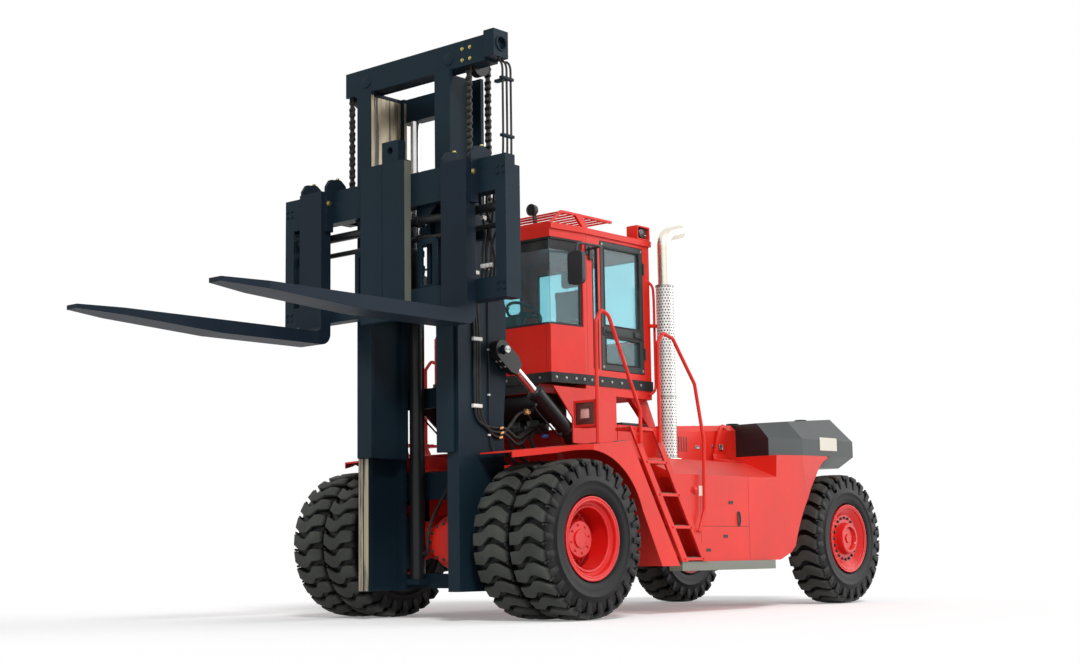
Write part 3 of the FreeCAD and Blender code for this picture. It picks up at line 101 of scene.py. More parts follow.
def floorFinish():
    # a pale floor that reads as white to the camera yet keeps the truck's shadow
    made, recipe = newMaterial("studio_floor")
    glow = studio["floorGlow"]
    shade = recipe.blend(seenStraight(recipe), colour((0, 0, 0)), colour((glow, glow, glow)))
    finishShader(recipe, **{"Base Color": colour(studio["floorColour"]), "Roughness": 0.9,
                            "Emission Color": shade, "Emission Strength": 1.0, "Specular IOR Level": 0.1})
    return made


def placeStudio():
    bpy.ops.mesh.primitive_plane_add(size=studio["floorSize"], location=(0, 0, -studio["floorDrop"]))
    floor = bpy.context.object
    floor.name = "studio_floor"
    floor.data.materials.append(floorFinish())
    for name, values in studio["lights"].items():
        bpy.ops.object.light_add(type="SUN", rotation=values["turn"])
        lamp = bpy.context.object
        lamp.name = name
        lamp.data.energy = values["power"]
        lamp.data.angle = values["spread"]
    sky = bpy.data.worlds.new("studio_sky")
    scene.world = sky
    sky.use_nodes = True
    tree = Recipe(sky.node_tree)
    level = seenStraight(tree) * (1 - studio["skyLevel"]) + studio["skyLevel"]
    glow = tree.node("ShaderNodeBackground", Color=(1, 1, 1, 1), Strength=level)
    tree.node("ShaderNodeOutputWorld", Surface=glow["Background"])
    scene.view_settings.view_transform = "Standard"


def maths(operation, swapped=False):
    # a method that adds one Math node, for one value or two
    def act(flow, *others):
        values = (*others, flow) if swapped else (flow, *others)
        made = flow.recipe.node("ShaderNodeMath", {"operation": operation}, dict(enumerate(values)))
        return made["Value"]
    return act


class Flow:
    # holds one socket; sums and products of flows become Math nodes
    __add__, __radd__ = maths("ADD"), maths("ADD", True)
    __sub__, __rsub__ = maths("SUBTRACT"), maths("SUBTRACT", True)
    __mul__, __rmul__ = maths("MULTIPLY"), maths("MULTIPLY", True)
    __truediv__ = maths("DIVIDE")
    larger, smaller = maths("MAXIMUM"), maths("MINIMUM")
    fraction, floored = maths("FRACT"), maths("FLOOR")
    size, root = maths("ABSOLUTE"), maths("SQRT")
    angleTo = maths("ARCTAN2")

    def __init__(self, recipe, socket):
        self.recipe = recipe
        self.socket = socket

    def between(self, low, high):
        # 0 at low, 1 at high, smooth in the middle
        made = self.recipe.node("ShaderNodeMapRange", {"interpolation_type": "SMOOTHSTEP"},
                                {"Value": self, "From Min": low, "From Max": high})
        return made["Result"]


class Outputs:
    # a node whose outputs are read by name or number as flows

    def __init__(self, recipe, made):
        self.recipe = recipe
        self.made = made

    def __getitem__(self, key):
        return Flow(self.recipe, self.made.outputs[key])


class Recipe:
    # builds one node tree

    def __init__(self, tree):
        self.tree = tree
        tree.nodes.clear()

    def node(self, kind, settings=None, inputs=None, **named):
        made = self.tree.nodes.new(kind)
        for key, value in (settings or {}).items():
            setattr(made, key, value)
        for key, value in {**(inputs or {}), **named}.items():
            if isinstance(value, Flow):
                self.tree.links.new(value.socket, made.inputs[key])
            else:
                made.inputs[key].default_value = value
        return Outputs(self, made)

    def blend(self, mask, low, high):
        # a colour that goes from low to high with the mask
        made = self.node("ShaderNodeMix", {"data_type": "RGBA"}, {0: mask, 6: low, 7: high})
        return Flow(self, made.made.outputs[2])

    def place(self, scale=(1, 1, 1), shift=(0, 0, 0)):
        spot = self.node("ShaderNodeTexCoord")["Object"]
        return self.node("ShaderNodeMapping", Vector=spot, Scale=scale, Location=shift)["Vector"]

    def axes(self, shift=(0, 0, 0)):
        parts = self.node("ShaderNodeSeparateXYZ", Vector=self.place(shift=shift))
        return parts["X"], parts["Y"], parts["Z"]

    def noise(self, scale, detail=4, rough=0.55, stretch=(1, 1, 1)):
        return self.node("ShaderNodeTexNoise", Vector=self.place(stretch), Scale=scale, Detail=detail,
                         Roughness=rough)["Fac"]

    def edges(self, radius):
        # 1 along edges that a bevel of that radius would round, and the rounded normal
        soft = self.node("ShaderNodeBevel", {"samples": 4}, {"Radius": radius})["Normal"]
        flat = self.node("ShaderNodeNewGeometry")["True Normal"]
        match = self.node("ShaderNodeVectorMath", {"operation": "DOT_PRODUCT"}, {0: soft, 1: flat})
        return (1 - match["Value"]).between(0.02, 0.3), soft

    def facingUp(self):
        normal = self.node("ShaderNodeNewGeometry")["Normal"]
        return self.node("ShaderNodeSeparateXYZ", Vector=normal)["Z"].between(0.35, 0.95)

    def holes(self, across, along, share):
        # 1 inside the round holes of a staggered grid
        row = along.floored()
        left = (across + row * 0.5).fraction() - 0.5
        low = along.fraction() - 0.5
        return 1 - (left * left + low * low).root().between(share * 0.85, share)


def colour(values):
    return (*values, 1)


def toned(values, factor):
    return colour([min(1, value * factor) for value in values])


def newMaterial(name):
    made = bpy.data.materials.new(name)
    made.use_nodes = True
    return made, Recipe(made.node_tree)


def finishShader(recipe, **values):
    shader = recipe.node("ShaderNodeBsdfPrincipled", {}, values)
    recipe.node("ShaderNodeOutputMaterial", Surface=shader["BSDF"])


def plainFinish(name, tone, roughness, grain=0.03):
    made, recipe = newMaterial(name)
    speckle = recipe.noise(1.5, 2)
    shade = recipe.blend(speckle, toned(tone, 1 + grain / 2), toned(tone, 1 - grain / 2))
    finishShader(recipe, **{"Base Color": shade, "Roughness": roughness})
    return made


def paintFinish(name, tone, gloss=0.35, coat=0.4, dust=0.12, chips=0.5, bare=(0.12, 0.1, 0.09),
                ripple=0.02, rounding=0.004, soil=(0.36, 0.33, 0.29), shine=0.4):
    # sprayed paint: slight mottling, road dust on upward faces, rubbed and chipped edges, rounded corners
    made, recipe = newMaterial(name)
    cloud = recipe.noise(1.3, 5, 0.6)
    grain = recipe.noise(38, 3, 0.6)
    edge, soft = recipe.edges(rounding)
    rubbed = (edge * chips * grain.between(0.48, 0.6)).smaller(1)
    shade = recipe.blend(cloud.between(0.3, 0.7), toned(tone, 0.9), toned(tone, 1.06))
    dusty = (recipe.facingUp() * dust + cloud.between(0.55, 0.8) * dust * 0.35) * grain.between(0.2, 0.7)
    shade = recipe.blend(dusty.smaller(1), shade, colour(soil))
    shade = recipe.blend(rubbed, shade, colour(bare))
    rough = (gloss + cloud * 0.12 + dusty * 0.4 + rubbed * 0.3).smaller(1)
    bump = recipe.node("ShaderNodeBump", Strength=0.25, Distance=0.002,
                       Height=recipe.noise(9, 4) * ripple * 10 - rubbed * 0.2, Normal=soft)
    finishShader(recipe, **{"Base Color": shade, "Roughness": rough, "Normal": bump["Normal"],
                            "Coat Weight": coat, "Coat Roughness": 0.12, "Specular IOR Level": shine})
    return made


def metalFinish(name, tone, gloss=0.25, streak=(1, 1, 30), grime=0.3, rounding=0.002):
    # brushed or drawn metal with a film of grime
    made, recipe = newMaterial(name)
    lines = recipe.noise(14, 5, 0.6, streak)
    dirt = recipe.noise(3.1, 5, 0.65).between(0.5, 0.75) * grime
    soft = recipe.edges(rounding)[1]
    shade = recipe.blend(lines, toned(tone, 0.82), colour(tone))
    shade = recipe.blend(dirt, shade, colour((0.05, 0.042, 0.035)))
    bump = recipe.node("ShaderNodeBump", Strength=0.12, Distance=0.001, Height=lines, Normal=soft)
    finishShader(recipe, **{"Base Color": shade, "Metallic": 1 - dirt * 0.6,
                            "Roughness": gloss + lines * 0.15 + dirt * 0.4, "Normal": bump["Normal"]})
    return made


def rubberFinish(name, tone=(0.016, 0.016, 0.018), dust=0.3, dusted=(0.12, 0.118, 0.1)):
    made, recipe = newMaterial(name)
    cloud = recipe.noise(2.2, 6, 0.65)
    fine = recipe.noise(60, 3, 0.6)
    dusty = (cloud.between(0.42, 0.75) * dust * (0.5 + fine)).smaller(1)
    shade = recipe.blend(dusty, colour(tone), colour(dusted))
    bump = recipe.node("ShaderNodeBump", Strength=0.2, Distance=0.002, Height=fine + cloud)
    finishShader(recipe, **{"Base Color": shade, "Roughness": 0.5 + dusty * 0.4, "Normal": bump["Normal"],
                            "Specular IOR Level": 0.2})
    return made


def tyreFinish(name, tone=(0.006, 0.006, 0.007), tread=(0.066, 0.07, 0.062)):
    # black sidewalls, a dry grey-green bloom on the tread blocks and patches of dust
    made, recipe = newMaterial(name)
    height = recipe.axes((0, 0, -frontAxle.z))[2]
    fore = recipe.axes((0, -frontAxle.y, 0))[1]
    aft = recipe.axes((0, -rearAxle.y, 0))[1]
    near = fore.size().smaller(aft.size())
    radius = (near * near + height * height).root()
    bloom = radius.between(wheelRadius - 0.05, wheelRadius - 0.012)
    cloud = recipe.noise(2.6, 6, 0.65)
    fine = recipe.noise(70, 3, 0.6)
    worn = bloom * (0.55 + cloud.between(0.3, 0.7) * 0.45)
    shade = recipe.blend(worn, colour(tone), colour(tread))
    shade = recipe.blend(cloud.between(0.55, 0.8) * 0.18, shade, colour((0.16, 0.15, 0.12)))
    bump = recipe.node("ShaderNodeBump", Strength=0.2, Distance=0.002, Height=fine + cloud)
    finishShader(recipe, **{"Base Color": shade, "Roughness": 0.34 + worn * 0.4 + fine * 0.1,
                            "Normal": bump["Normal"], "Specular IOR Level": 0.15})
    return made


def glassFinish(name, tone, clear=0.45):
    made, recipe = newMaterial(name)
    film = recipe.noise(2.5, 4).between(0.4, 0.8)
    shade = recipe.blend(film, colour(tone), toned(tone, 0.93))
    finishShader(recipe, **{"Base Color": shade, "Roughness": 0.0, "Transmission Weight": clear, "IOR": 1.3})
    return made


def meshFinish(name, tone, pitch, share, centre=None, metallic=0.0):
    # sheet with punched holes painted near-black as painted shade behind them; wrapped round the upright line
    # through centre, or flat on X and Z
    made, recipe = newMaterial(name)
    if centre:
        x, y, z = recipe.axes((-centre[0], -centre[1], 0))
        around = y.angleTo(x) * (centre[2] / pitch)
    else:
        x, y, z = recipe.axes()
        around = x / pitch
    shadedHoles = recipe.holes(around, z / pitch, share)
    cloud = recipe.noise(3, 4)
    shade = recipe.blend(cloud, toned(tone, 0.88), colour(tone))
    # painted shade: the holes take a near-black colour for the dark seen through them
    shade = recipe.blend(shadedHoles, shade, colour((0.012, 0.011, 0.01)))
    finishShader(recipe, **{"Base Color": shade, "Metallic": (1 - shadedHoles) * metallic,
                            "Roughness": 0.3 + shadedHoles * 0.5})
    return made


def trackFinish(name, tone=(0.42, 0.36, 0.25), greased=(0.035, 0.03, 0.026)):
    # bare running steel: drawn tan streaks under dark grease
    made, recipe = newMaterial(name)
    streak = recipe.noise(26, 4, 0.6, (1, 1, 0.03))
    smear = recipe.noise(7, 5, 0.65, (1, 1, 0.2)).between(0.45, 0.7)
    grease = (streak.between(0.46, 0.58) * 0.85 + smear * 0.4).smaller(1)
    shade = recipe.blend(grease, colour(tone), colour(greased))
    finishShader(recipe, **{"Base Color": shade, "Metallic": 0.55 - grease * 0.4,
                            "Roughness": 0.35 + streak * 0.2})
    return made


stack = {"x": 0.985, "y": 2.083, "low": 1.568, "ring": 2.2, "high": 3.386, "radius": 0.0905}

finishes = {
    "body_red": paintFinish("body_red", (0.7, 0.02, 0.01), gloss=0.42, coat=0.08, shine=0.28),
    "rim_red": paintFinish("rim_red", (0.66, 0.01, 0.008), gloss=0.3, dust=0.06, coat=0.2, shine=0.25),
    "mast_paint": paintFinish("mast_paint", (0.008, 0.019, 0.029), gloss=0.42, coat=0.02, chips=0.5,
                              dust=0.05, bare=(0.08, 0.065, 0.05), shine=0.09),
    "fork_steel": paintFinish("fork_steel", (0.009, 0.017, 0.028), gloss=0.42, coat=0.02, chips=0.6,
                              dust=0.06, bare=(0.12, 0.09, 0.06), shine=0.09),
    "weight_paint": paintFinish("weight_paint", (0.012, 0.019, 0.02), gloss=0.38, dust=0.05,
                                coat=0.1, shine=0.28),
    "step_grey": paintFinish("step_grey", (0.15, 0.16, 0.125), gloss=0.5),
    "axle_black": paintFinish("axle_black", (0.014, 0.014, 0.014), gloss=0.5, dust=0.3),
    "engine_grey": paintFinish("engine_grey", (0.12, 0.12, 0.12), gloss=0.6, dust=0.4),
    "cylinder_black": paintFinish("cylinder_black", (0.01, 0.011, 0.012), gloss=0.3, dust=0.08,
                                  coat=0.1, shine=0.2),
    "door_grey": paintFinish("door_grey", (0.03, 0.036, 0.036), gloss=0.45, coat=0.1, shine=0.2),
    "cab_trim": plainFinish("cab_trim", (0.02, 0.02, 0.023), 0.55, 0.2),
    "seat_cloth": plainFinish("seat_cloth", (0.02, 0.02, 0.024), 0.9, 0.3),
    "rubber_black": rubberFinish("rubber_black"),
    "tyre_black": tyreFinish("tyre_black"),
    "chrome_rod": metalFinish("chrome_rod", (0.8, 0.8, 0.82), 0.1, grime=0.1),
    "stack_steel": metalFinish("stack_steel", (0.92, 0.86, 0.74), 0.2, grime=0.15),
    "chain_steel": metalFinish("chain_steel", (0.045, 0.045, 0.042), 0.4, grime=0.5),
    "bolt_steel": metalFinish("bolt_steel", (0.42, 0.42, 0.4), 0.35, grime=0.3),
    "zinc_yellow": metalFinish("zinc_yellow", (0.52, 0.46, 0.17), 0.35, grime=0.3),
    "brass": metalFinish("brass", (0.72, 0.42, 0.16), 0.3, grime=0.2),
    "clamp_white": plainFinish("clamp_white", (0.75, 0.75, 0.72), 0.5),
    "cap_blue": plainFinish("cap_blue", (0.02, 0.09, 0.3), 0.4),
    "plate_pale": plainFinish("plate_pale", (0.72, 0.68, 0.56), 0.5, 0.1),
    # painted reflection: the headlamp glass is tinted reddish pink to stand for the red mirrored in its
    # reflector
    "lens_red_reflection": plainFinish("lens_red_reflection", (0.72, 0.36, 0.32), 0.1),
    "lens_red": plainFinish("lens_red", (0.45, 0.02, 0.015), 0.15),
    "lens_amber": plainFinish("lens_amber", (0.8, 0.25, 0.02), 0.15),
    "glass_teal": glassFinish("glass_teal", (0.5, 0.82, 0.88), 0.94),
    "screen_dark": plainFinish("screen_dark", (0.006, 0.008, 0.01), 0.15),
    "guard_mesh": meshFinish("guard_mesh", (0.84, 0.82, 0.78), 0.031, 0.29,
                             at(stack["x"], stack["y"], 0).to_tuple()[:2] + (stack["radius"],), 0.5),
    "lamp_mesh": meshFinish("lamp_mesh", (0.13, 0.012, 0.01), 0.022, 0.36),
    "track_steel": trackFinish("track_steel"),
}

print("materials ready:", len(finishes))


def dressNodes():
    # every loaded node takes its slot's finish, and the drive axle's housing the body colour
    slots = {row["node"]: row["material_slot"] for row in frame["record"]["subparts"]}
    for name, piece in nodes.items():
        piece.data.materials.clear()
        piece.data.materials.append(finishes[slots[name]])
    nodes["front_axle"].data.materials[0] = finishes["body_red"]


dressNodes()
placeCamera()
placeStudio()
print("camera and studio ready")


def freshStart():
    if bpy.context.object and bpy.context.object.mode != "OBJECT":
        bpy.ops.object.mode_set(mode="OBJECT")
    bpy.ops.object.select_all(action="DESELECT")


def choose(*pieces):
    freshStart()
    for piece in pieces:
        piece.select_set(True)
    bpy.context.view_layer.objects.active = pieces[-1]


def openUp(piece, kind="VERT", everything=False):
    choose(piece)
    bpy.ops.object.mode_set(mode="EDIT")
    bpy.ops.mesh.select_mode(type=kind)
    bpy.ops.mesh.select_all(action="SELECT" if everything else "DESELECT")


def closeUp():
    bpy.ops.object.mode_set(mode="OBJECT")


def pickFaces(piece, test):
    sheet = bmesh.from_edit_mesh(piece.data)
    for face in sheet.faces:
        face.select_set(bool(test(face)))
    sheet.select_flush_mode()
    bmesh.update_edit_mesh(piece.data)


def settle(piece):
    # puts an object's place into its mesh
    choose(piece)
    bpy.ops.object.transform_apply(location=True, rotation=True, scale=True)
    return piece


def modify(piece, kind, **values):
    choose(piece)
    tool = piece.modifiers.new(kind.lower(), kind)
    for key, value in values.items():
        setattr(tool, key, value)
    bpy.ops.object.modifier_apply(modifier=tool.name)
    return piece


def roundOff(piece, width, segments=2, angle=0.6):
    return modify(piece, "BEVEL", width=width, segments=segments, limit_method="ANGLE", angle_limit=angle,
                  harden_normals=False)


def block(low, high, soften=0.004, segments=2):
    # a box between two corners with softened edges
    freshStart()
    low, high = Vector(low), Vector(high)
    bpy.ops.mesh.primitive_cube_add(size=1, location=(low + high) / 2, scale=high - low)
    made = settle(bpy.context.object)
    return roundOff(made, soften, segments) if soften else made


def frameOf(low, high, width, axis=0, soften=0.003):
    # a rectangular ring: both faces across the axis are inset and joined through
    made = block(low, high, 0)
    openUp(made, "FACE")
    pickFaces(made, lambda face: abs(face.normal[axis]) > 0.9)
    bpy.ops.mesh.inset(thickness=width)
    bpy.ops.mesh.bridge_edge_loops()
    closeUp()
    return roundOff(made, soften)


def tray(low, high, wall, deep, side, soften=0.003):
    # a box whose face on one side is inset and sunk
    made = block(low, high, 0)
    openUp(made, "FACE")
    pickFaces(made, lambda face: face.normal.dot(Vector(side)) > 0.9)
    bpy.ops.mesh.inset(thickness=wall)
    bpy.ops.mesh.extrude_region_move(TRANSFORM_OT_translate={"value": Vector(side) * -deep})
    closeUp()
    return roundOff(made, soften)


def plate(points, depth, soften=0.003, segments=2):
    # an outline filled in and drawn out by depth
    freshStart()
    bpy.ops.mesh.primitive_circle_add(vertices=len(points), radius=0.1, fill_type="NGON")
    made = bpy.context.object
    for vert, spot in zip(made.data.vertices, points):
        vert.co = spot
    openUp(made, "FACE", True)
    bpy.ops.mesh.extrude_region_move(TRANSFORM_OT_translate={"value": depth})
    bpy.ops.mesh.select_all(action="SELECT")
    bpy.ops.mesh.normals_make_consistent(inside=False)
    closeUp()
    return roundOff(made, soften, segments) if soften else made


def cutOut(piece, cutter):
    modify(piece, "BOOLEAN", object=cutter, operation="DIFFERENCE", solver="EXACT")
    bpy.data.objects.remove(cutter)
    return piece


def stub(start, end, radius, sides=32, soften=0.0, tip=None):
    # a round bar from one point to another, tapered to tip when given
    freshStart()
    start, end = Vector(start), Vector(end)
    along = end - start
    turn = along.to_track_quat("Z", "Y").to_euler()
    bpy.ops.mesh.primitive_cone_add(vertices=sides, radius1=radius, radius2=radius if tip is None else tip,
                                    depth=along.length, location=(start + end) / 2, rotation=turn)
    made = settle(bpy.context.object)
    return roundOff(made, soften, 2) if soften else made


turned = {"X": Matrix.Identity(4), "Y": Matrix.Rotation(math.pi / 2, 4, "Z"),
          "Z": Matrix.Rotation(-math.pi / 2, 4, "Y")}


def lathe(profile, centre, axis="X", steps=64):
    # (along, radius) points spun round an axis through the centre
    freshStart()
    bpy.ops.mesh.primitive_plane_add(size=0.01, location=(0, 0, 0))
    made = bpy.context.object
    openUp(made, "VERT", True)
    bpy.ops.mesh.merge(type="CENTER")
    bpy.ops.transform.translate(value=(profile[0][0], 0, profile[0][1]))
    for (x0, r0), (x1, r1) in zip(profile, profile[1:]):
        bpy.ops.mesh.extrude_region_move(TRANSFORM_OT_translate={"value": (x1 - x0, 0, r1 - r0)})
    bpy.ops.mesh.select_all(action="SELECT")
    bpy.ops.mesh.spin(steps=steps, angle=2 * math.pi, center=(0, 0, 0), axis=(1, 0, 0))
    bpy.ops.mesh.select_all(action="SELECT")
    bpy.ops.mesh.remove_doubles(threshold=0.00005)
    bpy.ops.mesh.normals_make_consistent(inside=False)
    closeUp()
    made.data.transform(turned[axis])
    made.data.transform(Matrix.Translation(centre))
    return made


def copyOf(piece, shift=(0, 0, 0), turn=None):
    # another of the same piece with its own mesh
    freshStart()
    twin = piece.copy()
    twin.data = piece.data.copy()
    scene.collection.objects.link(twin)
    if turn:
        twin.data.transform(turn)
    twin.data.transform(Matrix.Translation(shift))
    return twin


def flipped(piece):
    # the mirror image across the truck's middle
    twin = copyOf(piece, turn=Matrix.Scale(-1, 4, (1, 0, 0)))
    openUp(twin, "FACE", True)
    bpy.ops.mesh.flip_normals()
    closeUp()
    return twin


def joined(*pieces):
    choose(*pieces)
    bpy.ops.object.join()
    return bpy.context.object


def withMirror(piece):
    return joined(flipped(piece), piece)


sides = {"left": copyOf, "right": flipped}


def done(piece, name, slot, body="chassis", smooth=0.5, finish=None):
    # names a finished piece, gives it its finish and sets it on its body
    piece.name = name
    piece.data.name = name
    piece.data.materials.clear()
    piece.data.materials.append(finishes[finish or slot])
    choose(piece)
    bpy.ops.object.shade_smooth_by_angle(angle=smooth)
    if body:
        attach(piece, body)
    return piece


def tube(points, radius, rings=4):
    # a hose along a smooth route through its control points
    freshStart()
    route = bpy.data.curves.new("route", "CURVE")
    route.dimensions = "3D"
    line = route.splines.new("NURBS")
    line.points.add(len(points) - 1)
    for spot, point in zip(line.points, points):
        spot.co = (*point, 1)
    line.order_u = 3
    line.use_endpoint_u = True
    line.resolution_u = 6
    route.bevel_depth = radius
    route.bevel_resolution = rings
    route.use_fill_caps = True
    made = bpy.data.objects.new("route", route)
    scene.collection.objects.link(made)
    choose(made)
    bpy.ops.object.convert(target="MESH")
    return bpy.context.object


def hexHead(spot, outward, across, height):
    # a hexagon bolt head on a washer
    spot, outward = Vector(spot), Vector(outward).normalized()
    washer = stub(spot, spot + outward * height * 0.25, across * 0.72, 16)
    head = stub(spot + outward * height * 0.25, spot + outward * height, across * 0.55, 6, across * 0.06)
    return joined(washer, head)


def bolts(spots, outward, across=0.03, height=0.016):
    first = hexHead(spots[0], outward, across, height)
    rest = [copyOf(first, Vector(spot) - Vector(spots[0])) for spot in spots[1:]]
    return joined(*rest, first)


def ringSpots(centre, radius, count, start=0.0):
    # places evenly round a circle that faces along X
    centre = Vector(centre)
    return [centre + Vector((0, radius * math.cos(start + k * 2 * math.pi / count),
                             radius * math.sin(start + k * 2 * math.pi / count))) for k in range(count)]


tyre = {"half": 0.2125, "groove": 0.046, "lugs": 26, "lugShare": 0.7, "swing": 0.062, "soften": 0.006}


def treadLug():
    # one zigzag lug across the tread and down both shoulders, laid flat at the top of the wheel
    half, base = tyre["half"], wheelRadius - tyre["groove"] - 0.004
    wide = math.pi * wheelRadius / tyre["lugs"] * tyre["lugShare"]
    stations = [(-1.0, -0.5, 0.5, -0.118, 0.028), (-0.985, -0.5, 0.62, -0.052, 0),
                (-0.86, -0.5, 0.9, -0.01, 0), (-0.55, -0.5, 1.0, -0.002, 0), (-0.3, -0.42, 1.0, 0, 0),
                (0.02, 0.62, 0.94, 0, 0), (0.3, 0.7, 0.94, 0, 0), (0.5, 0.45, 1.0, -0.002, 0),
                (0.86, -0.22, 0.92, -0.01, 0), (0.985, -0.3, 0.62, -0.052, 0),
                (1.0, -0.3, 0.5, -0.118, 0.028)]
    rows = []
    for across, sway, share, drop, sink in stations:
        x, middle, top = across * half, sway * tyre["swing"], wheelRadius + drop
        low = min(base, top - 0.012) - sink
        rows.append([(x, middle - wide * share, low), (x, middle - wide * share * 0.96, top),
                     (x, middle + wide * share * 0.96, top), (x, middle + wide * share, low)])
    freshStart()
    bpy.ops.mesh.primitive_plane_add(size=0.02)
    lug = bpy.context.object
    bpy.ops.object.mode_set(mode="EDIT")
    sheet = bmesh.from_edit_mesh(lug.data)
    for vert, spot in zip(sheet.verts[:], (rows[0][0], rows[0][3], rows[0][1], rows[0][2])):
        vert.co = spot
    bmesh.update_edit_mesh(lug.data)
    bpy.ops.mesh.select_all(action="SELECT")
    for before, after in zip(rows, rows[1:]):
        bpy.ops.mesh.extrude_region_move()
        sheet = bmesh.from_edit_mesh(lug.data)
        for vert in [v for v in sheet.verts if v.select]:
            nearest = min(range(4), key=lambda k: (Vector(before[k]) - vert.co).length)
            vert.co = after[nearest]
        bmesh.update_edit_mesh(lug.data)
    bpy.ops.mesh.select_all(action="SELECT")
    bpy.ops.mesh.normals_make_consistent(inside=False)
    closeUp()
    roundOff(lug, tyre["soften"], 2, 0.5)
    for vert in lug.data.vertices:      # wrapped round the wheel
        angle = vert.co.y / wheelRadius
        vert.co.y, vert.co.z = vert.co.z * math.sin(angle), vert.co.z * math.cos(angle)
    return lug


def shoulderBar(side):
    # a short moulded bar between two lugs on the shoulder
    half, top = tyre["half"] * side, wheelRadius - 0.07
    middle = math.pi * wheelRadius / tyre["lugs"]
    return plate([(half * 0.965, middle - 0.01, top), (half * 0.9, middle - 0.012, top + 0.042),
                  (half * 0.84, middle - 0.012, top + 0.03), (half * 0.9, middle - 0.01, top - 0.02)],
                 (0, 0.022, 0), 0.003, 1)


def wholeTyre():
    base = wheelRadius - tyre["groove"]
    side = [(0.132, 0.3205), (0.1705, 0.3875), (0.1905, 0.399), (0.203, 0.42), (0.209, 0.47), (0.2095, 0.515),
            (0.2125, 0.52), (0.2125, 0.535), (0.2085, 0.54), (0.203, 0.6), (0.197, 0.645), (0.186, 0.668),
            (0.15, base - 0.006), (0.06, base), (0.0, base)]
    profile = side + [(-x, r) for x, r in reversed(side[:-1])]
    carcass = lathe(profile + [side[0]], (0, 0, 0), "X", 104)
    lug = joined(shoulderBar(1), shoulderBar(-1), treadLug())
    openUp(lug, "VERT", True)
    bpy.ops.mesh.spin(steps=tyre["lugs"], angle=2 * math.pi, center=(0, 0, 0), axis=(1, 0, 0), dupli=True)
    closeUp()
    return joined(lug, carcass)


def fitTyres():
    model = wholeTyre()
    for side, turn in (("left", 1), ("right", -1)):
        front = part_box("front_tyres_" + side)
        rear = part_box("rear_tyre_" + side)
        outer = (front[1].x if turn > 0 else front[0].x) - turn * tyre["half"]
        inner = (front[0].x if turn > 0 else front[1].x) + turn * tyre["half"]
        places = (("outer", outer, frontAxle, "front_wheels_" + side),
                  ("inner", inner, frontAxle, "front_wheels_" + side),
                  ("rear", sum(rear, Vector()).x / 2, rearAxle, "rear_wheel_" + side))
        for name, x, axle, body in places:
            flip = Matrix.Rotation(math.pi, 4, "Z") if turn < 0 else Matrix.Identity(4)
            spin = Matrix.Rotation(0.11 * len(name), 4, "X") @ flip
            piece = done(copyOf(model, (x, axle.y, axle.z), spin), f"tyre_{name}_{side}", "tyre_black",
                         body, 0.7)
            if name == "outer":
                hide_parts("front_tyres_" + side)
            if name == "rear":
                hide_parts("rear_tyre_" + side)
    bpy.data.objects.remove(model)
    print("tyres fitted")


rim = {"face": 1.655, "disc": 1.362, "hubEnd": 1.5, "studs": 24, "studRing": 0.232, "stud": 0.03,
       "rearFace": 1.335, "rearStuds": 20, "rearStudRing": 0.238}


def frontRimTrim():
    # lock ring in the outer flange, wheel studs round the hub, hub cap screws and a valve
    x, centre = rim["face"], Vector((0, frontAxle.y, frontAxle.z))
    lock = lathe([(x - 0.016, 0.342), (x - 0.009, 0.34), (x - 0.003, 0.346), (x - 0.002, 0.356),
                  (x - 0.008, 0.366), (x - 0.016, 0.362), (x - 0.016, 0.342)], centre, "X", 96)
    step = lathe([(x - 0.075, 0.289), (x - 0.068, 0.283), (x - 0.055, 0.286), (x - 0.052, 0.3),
                  (x - 0.06, 0.306), (x - 0.075, 0.289)], centre, "X", 96)
    ring = lathe([(rim["hubEnd"] - 0.005, 0.068), (rim["hubEnd"] + 0.014, 0.072),
                  (rim["hubEnd"] + 0.014, 0.083), (rim["hubEnd"] - 0.004, 0.088)], centre, "X", 48)
    caps = bolts(ringSpots(centre + Vector((rim["hubEnd"], 0, 0)), 0.128, 8, 0.2), (1, 0, 0), 0.02, 0.009)
    studs = bolts(ringSpots(centre + Vector((rim["disc"] - 0.001, 0, 0)), rim["studRing"], rim["studs"]),
                  (1, 0, 0), rim["stud"], 0.03)
    valve = stub(centre + Vector((rim["disc"], 0.18, 0.21)),
                 centre + Vector((x - 0.09, 0.205, 0.235)), 0.006, 12)
    return joined(lock, step, ring, caps), joined(studs, valve)


def rearRimTrim():
    # flange ring, dark studs near the rim of the disc and a raised cap ring
    x, centre = rim["rearFace"], Vector((0, rearAxle.y, rearAxle.z))
    lock = lathe([(x - 0.014, 0.346), (x - 0.006, 0.344), (x - 0.001, 0.352), (x - 0.001, 0.36),
                  (x - 0.012, 0.366), (x - 0.014, 0.346)], centre, "X", 96)
    cap = lathe([(x + 0.003, 0.128), (x + 0.012, 0.134), (x + 0.012, 0.16), (x + 0.003, 0.168)], centre, "X",
                64)
    hub = lathe([(x - 0.022, 0.0), (x - 0.006, 0.0), (x - 0.006, 0.045), (x - 0.012, 0.052),
                 (x - 0.022, 0.052)],
                centre, "X", 40)
    studs = bolts(ringSpots(centre + Vector((x - 0.061, 0, 0)), rim["rearStudRing"], rim["rearStuds"]),
                  (1, 0, 0), 0.026, 0.02)
    return joined(lock, cap, hub), studs


def trimRims():
    for name, make, body, studPaint in (("front", frontRimTrim, "front_wheels", "rim_red"),
                                        ("rear", rearRimTrim, "rear_wheel", "axle_black")):
        rings, studs = make()
        for side, copy in sides.items():
            done(copy(rings), f"{name}_rim_rings_{side}", "rim_red", f"{body}_{side}", 0.7)
            done(copy(studs), f"{name}_wheel_studs_{side}", "rim_red", f"{body}_{side}", finish=studPaint)
        bpy.data.objects.remove(rings)
        bpy.data.objects.remove(studs)
    print("rims trimmed")


fitTyres()
trimRims()


chain = {"pitch": 0.0635, "plates": 7, "plateWide": 0.0062, "step": 0.0095, "depth": 0.033, "pin": 0.0085,
         "inset": 0.0175}


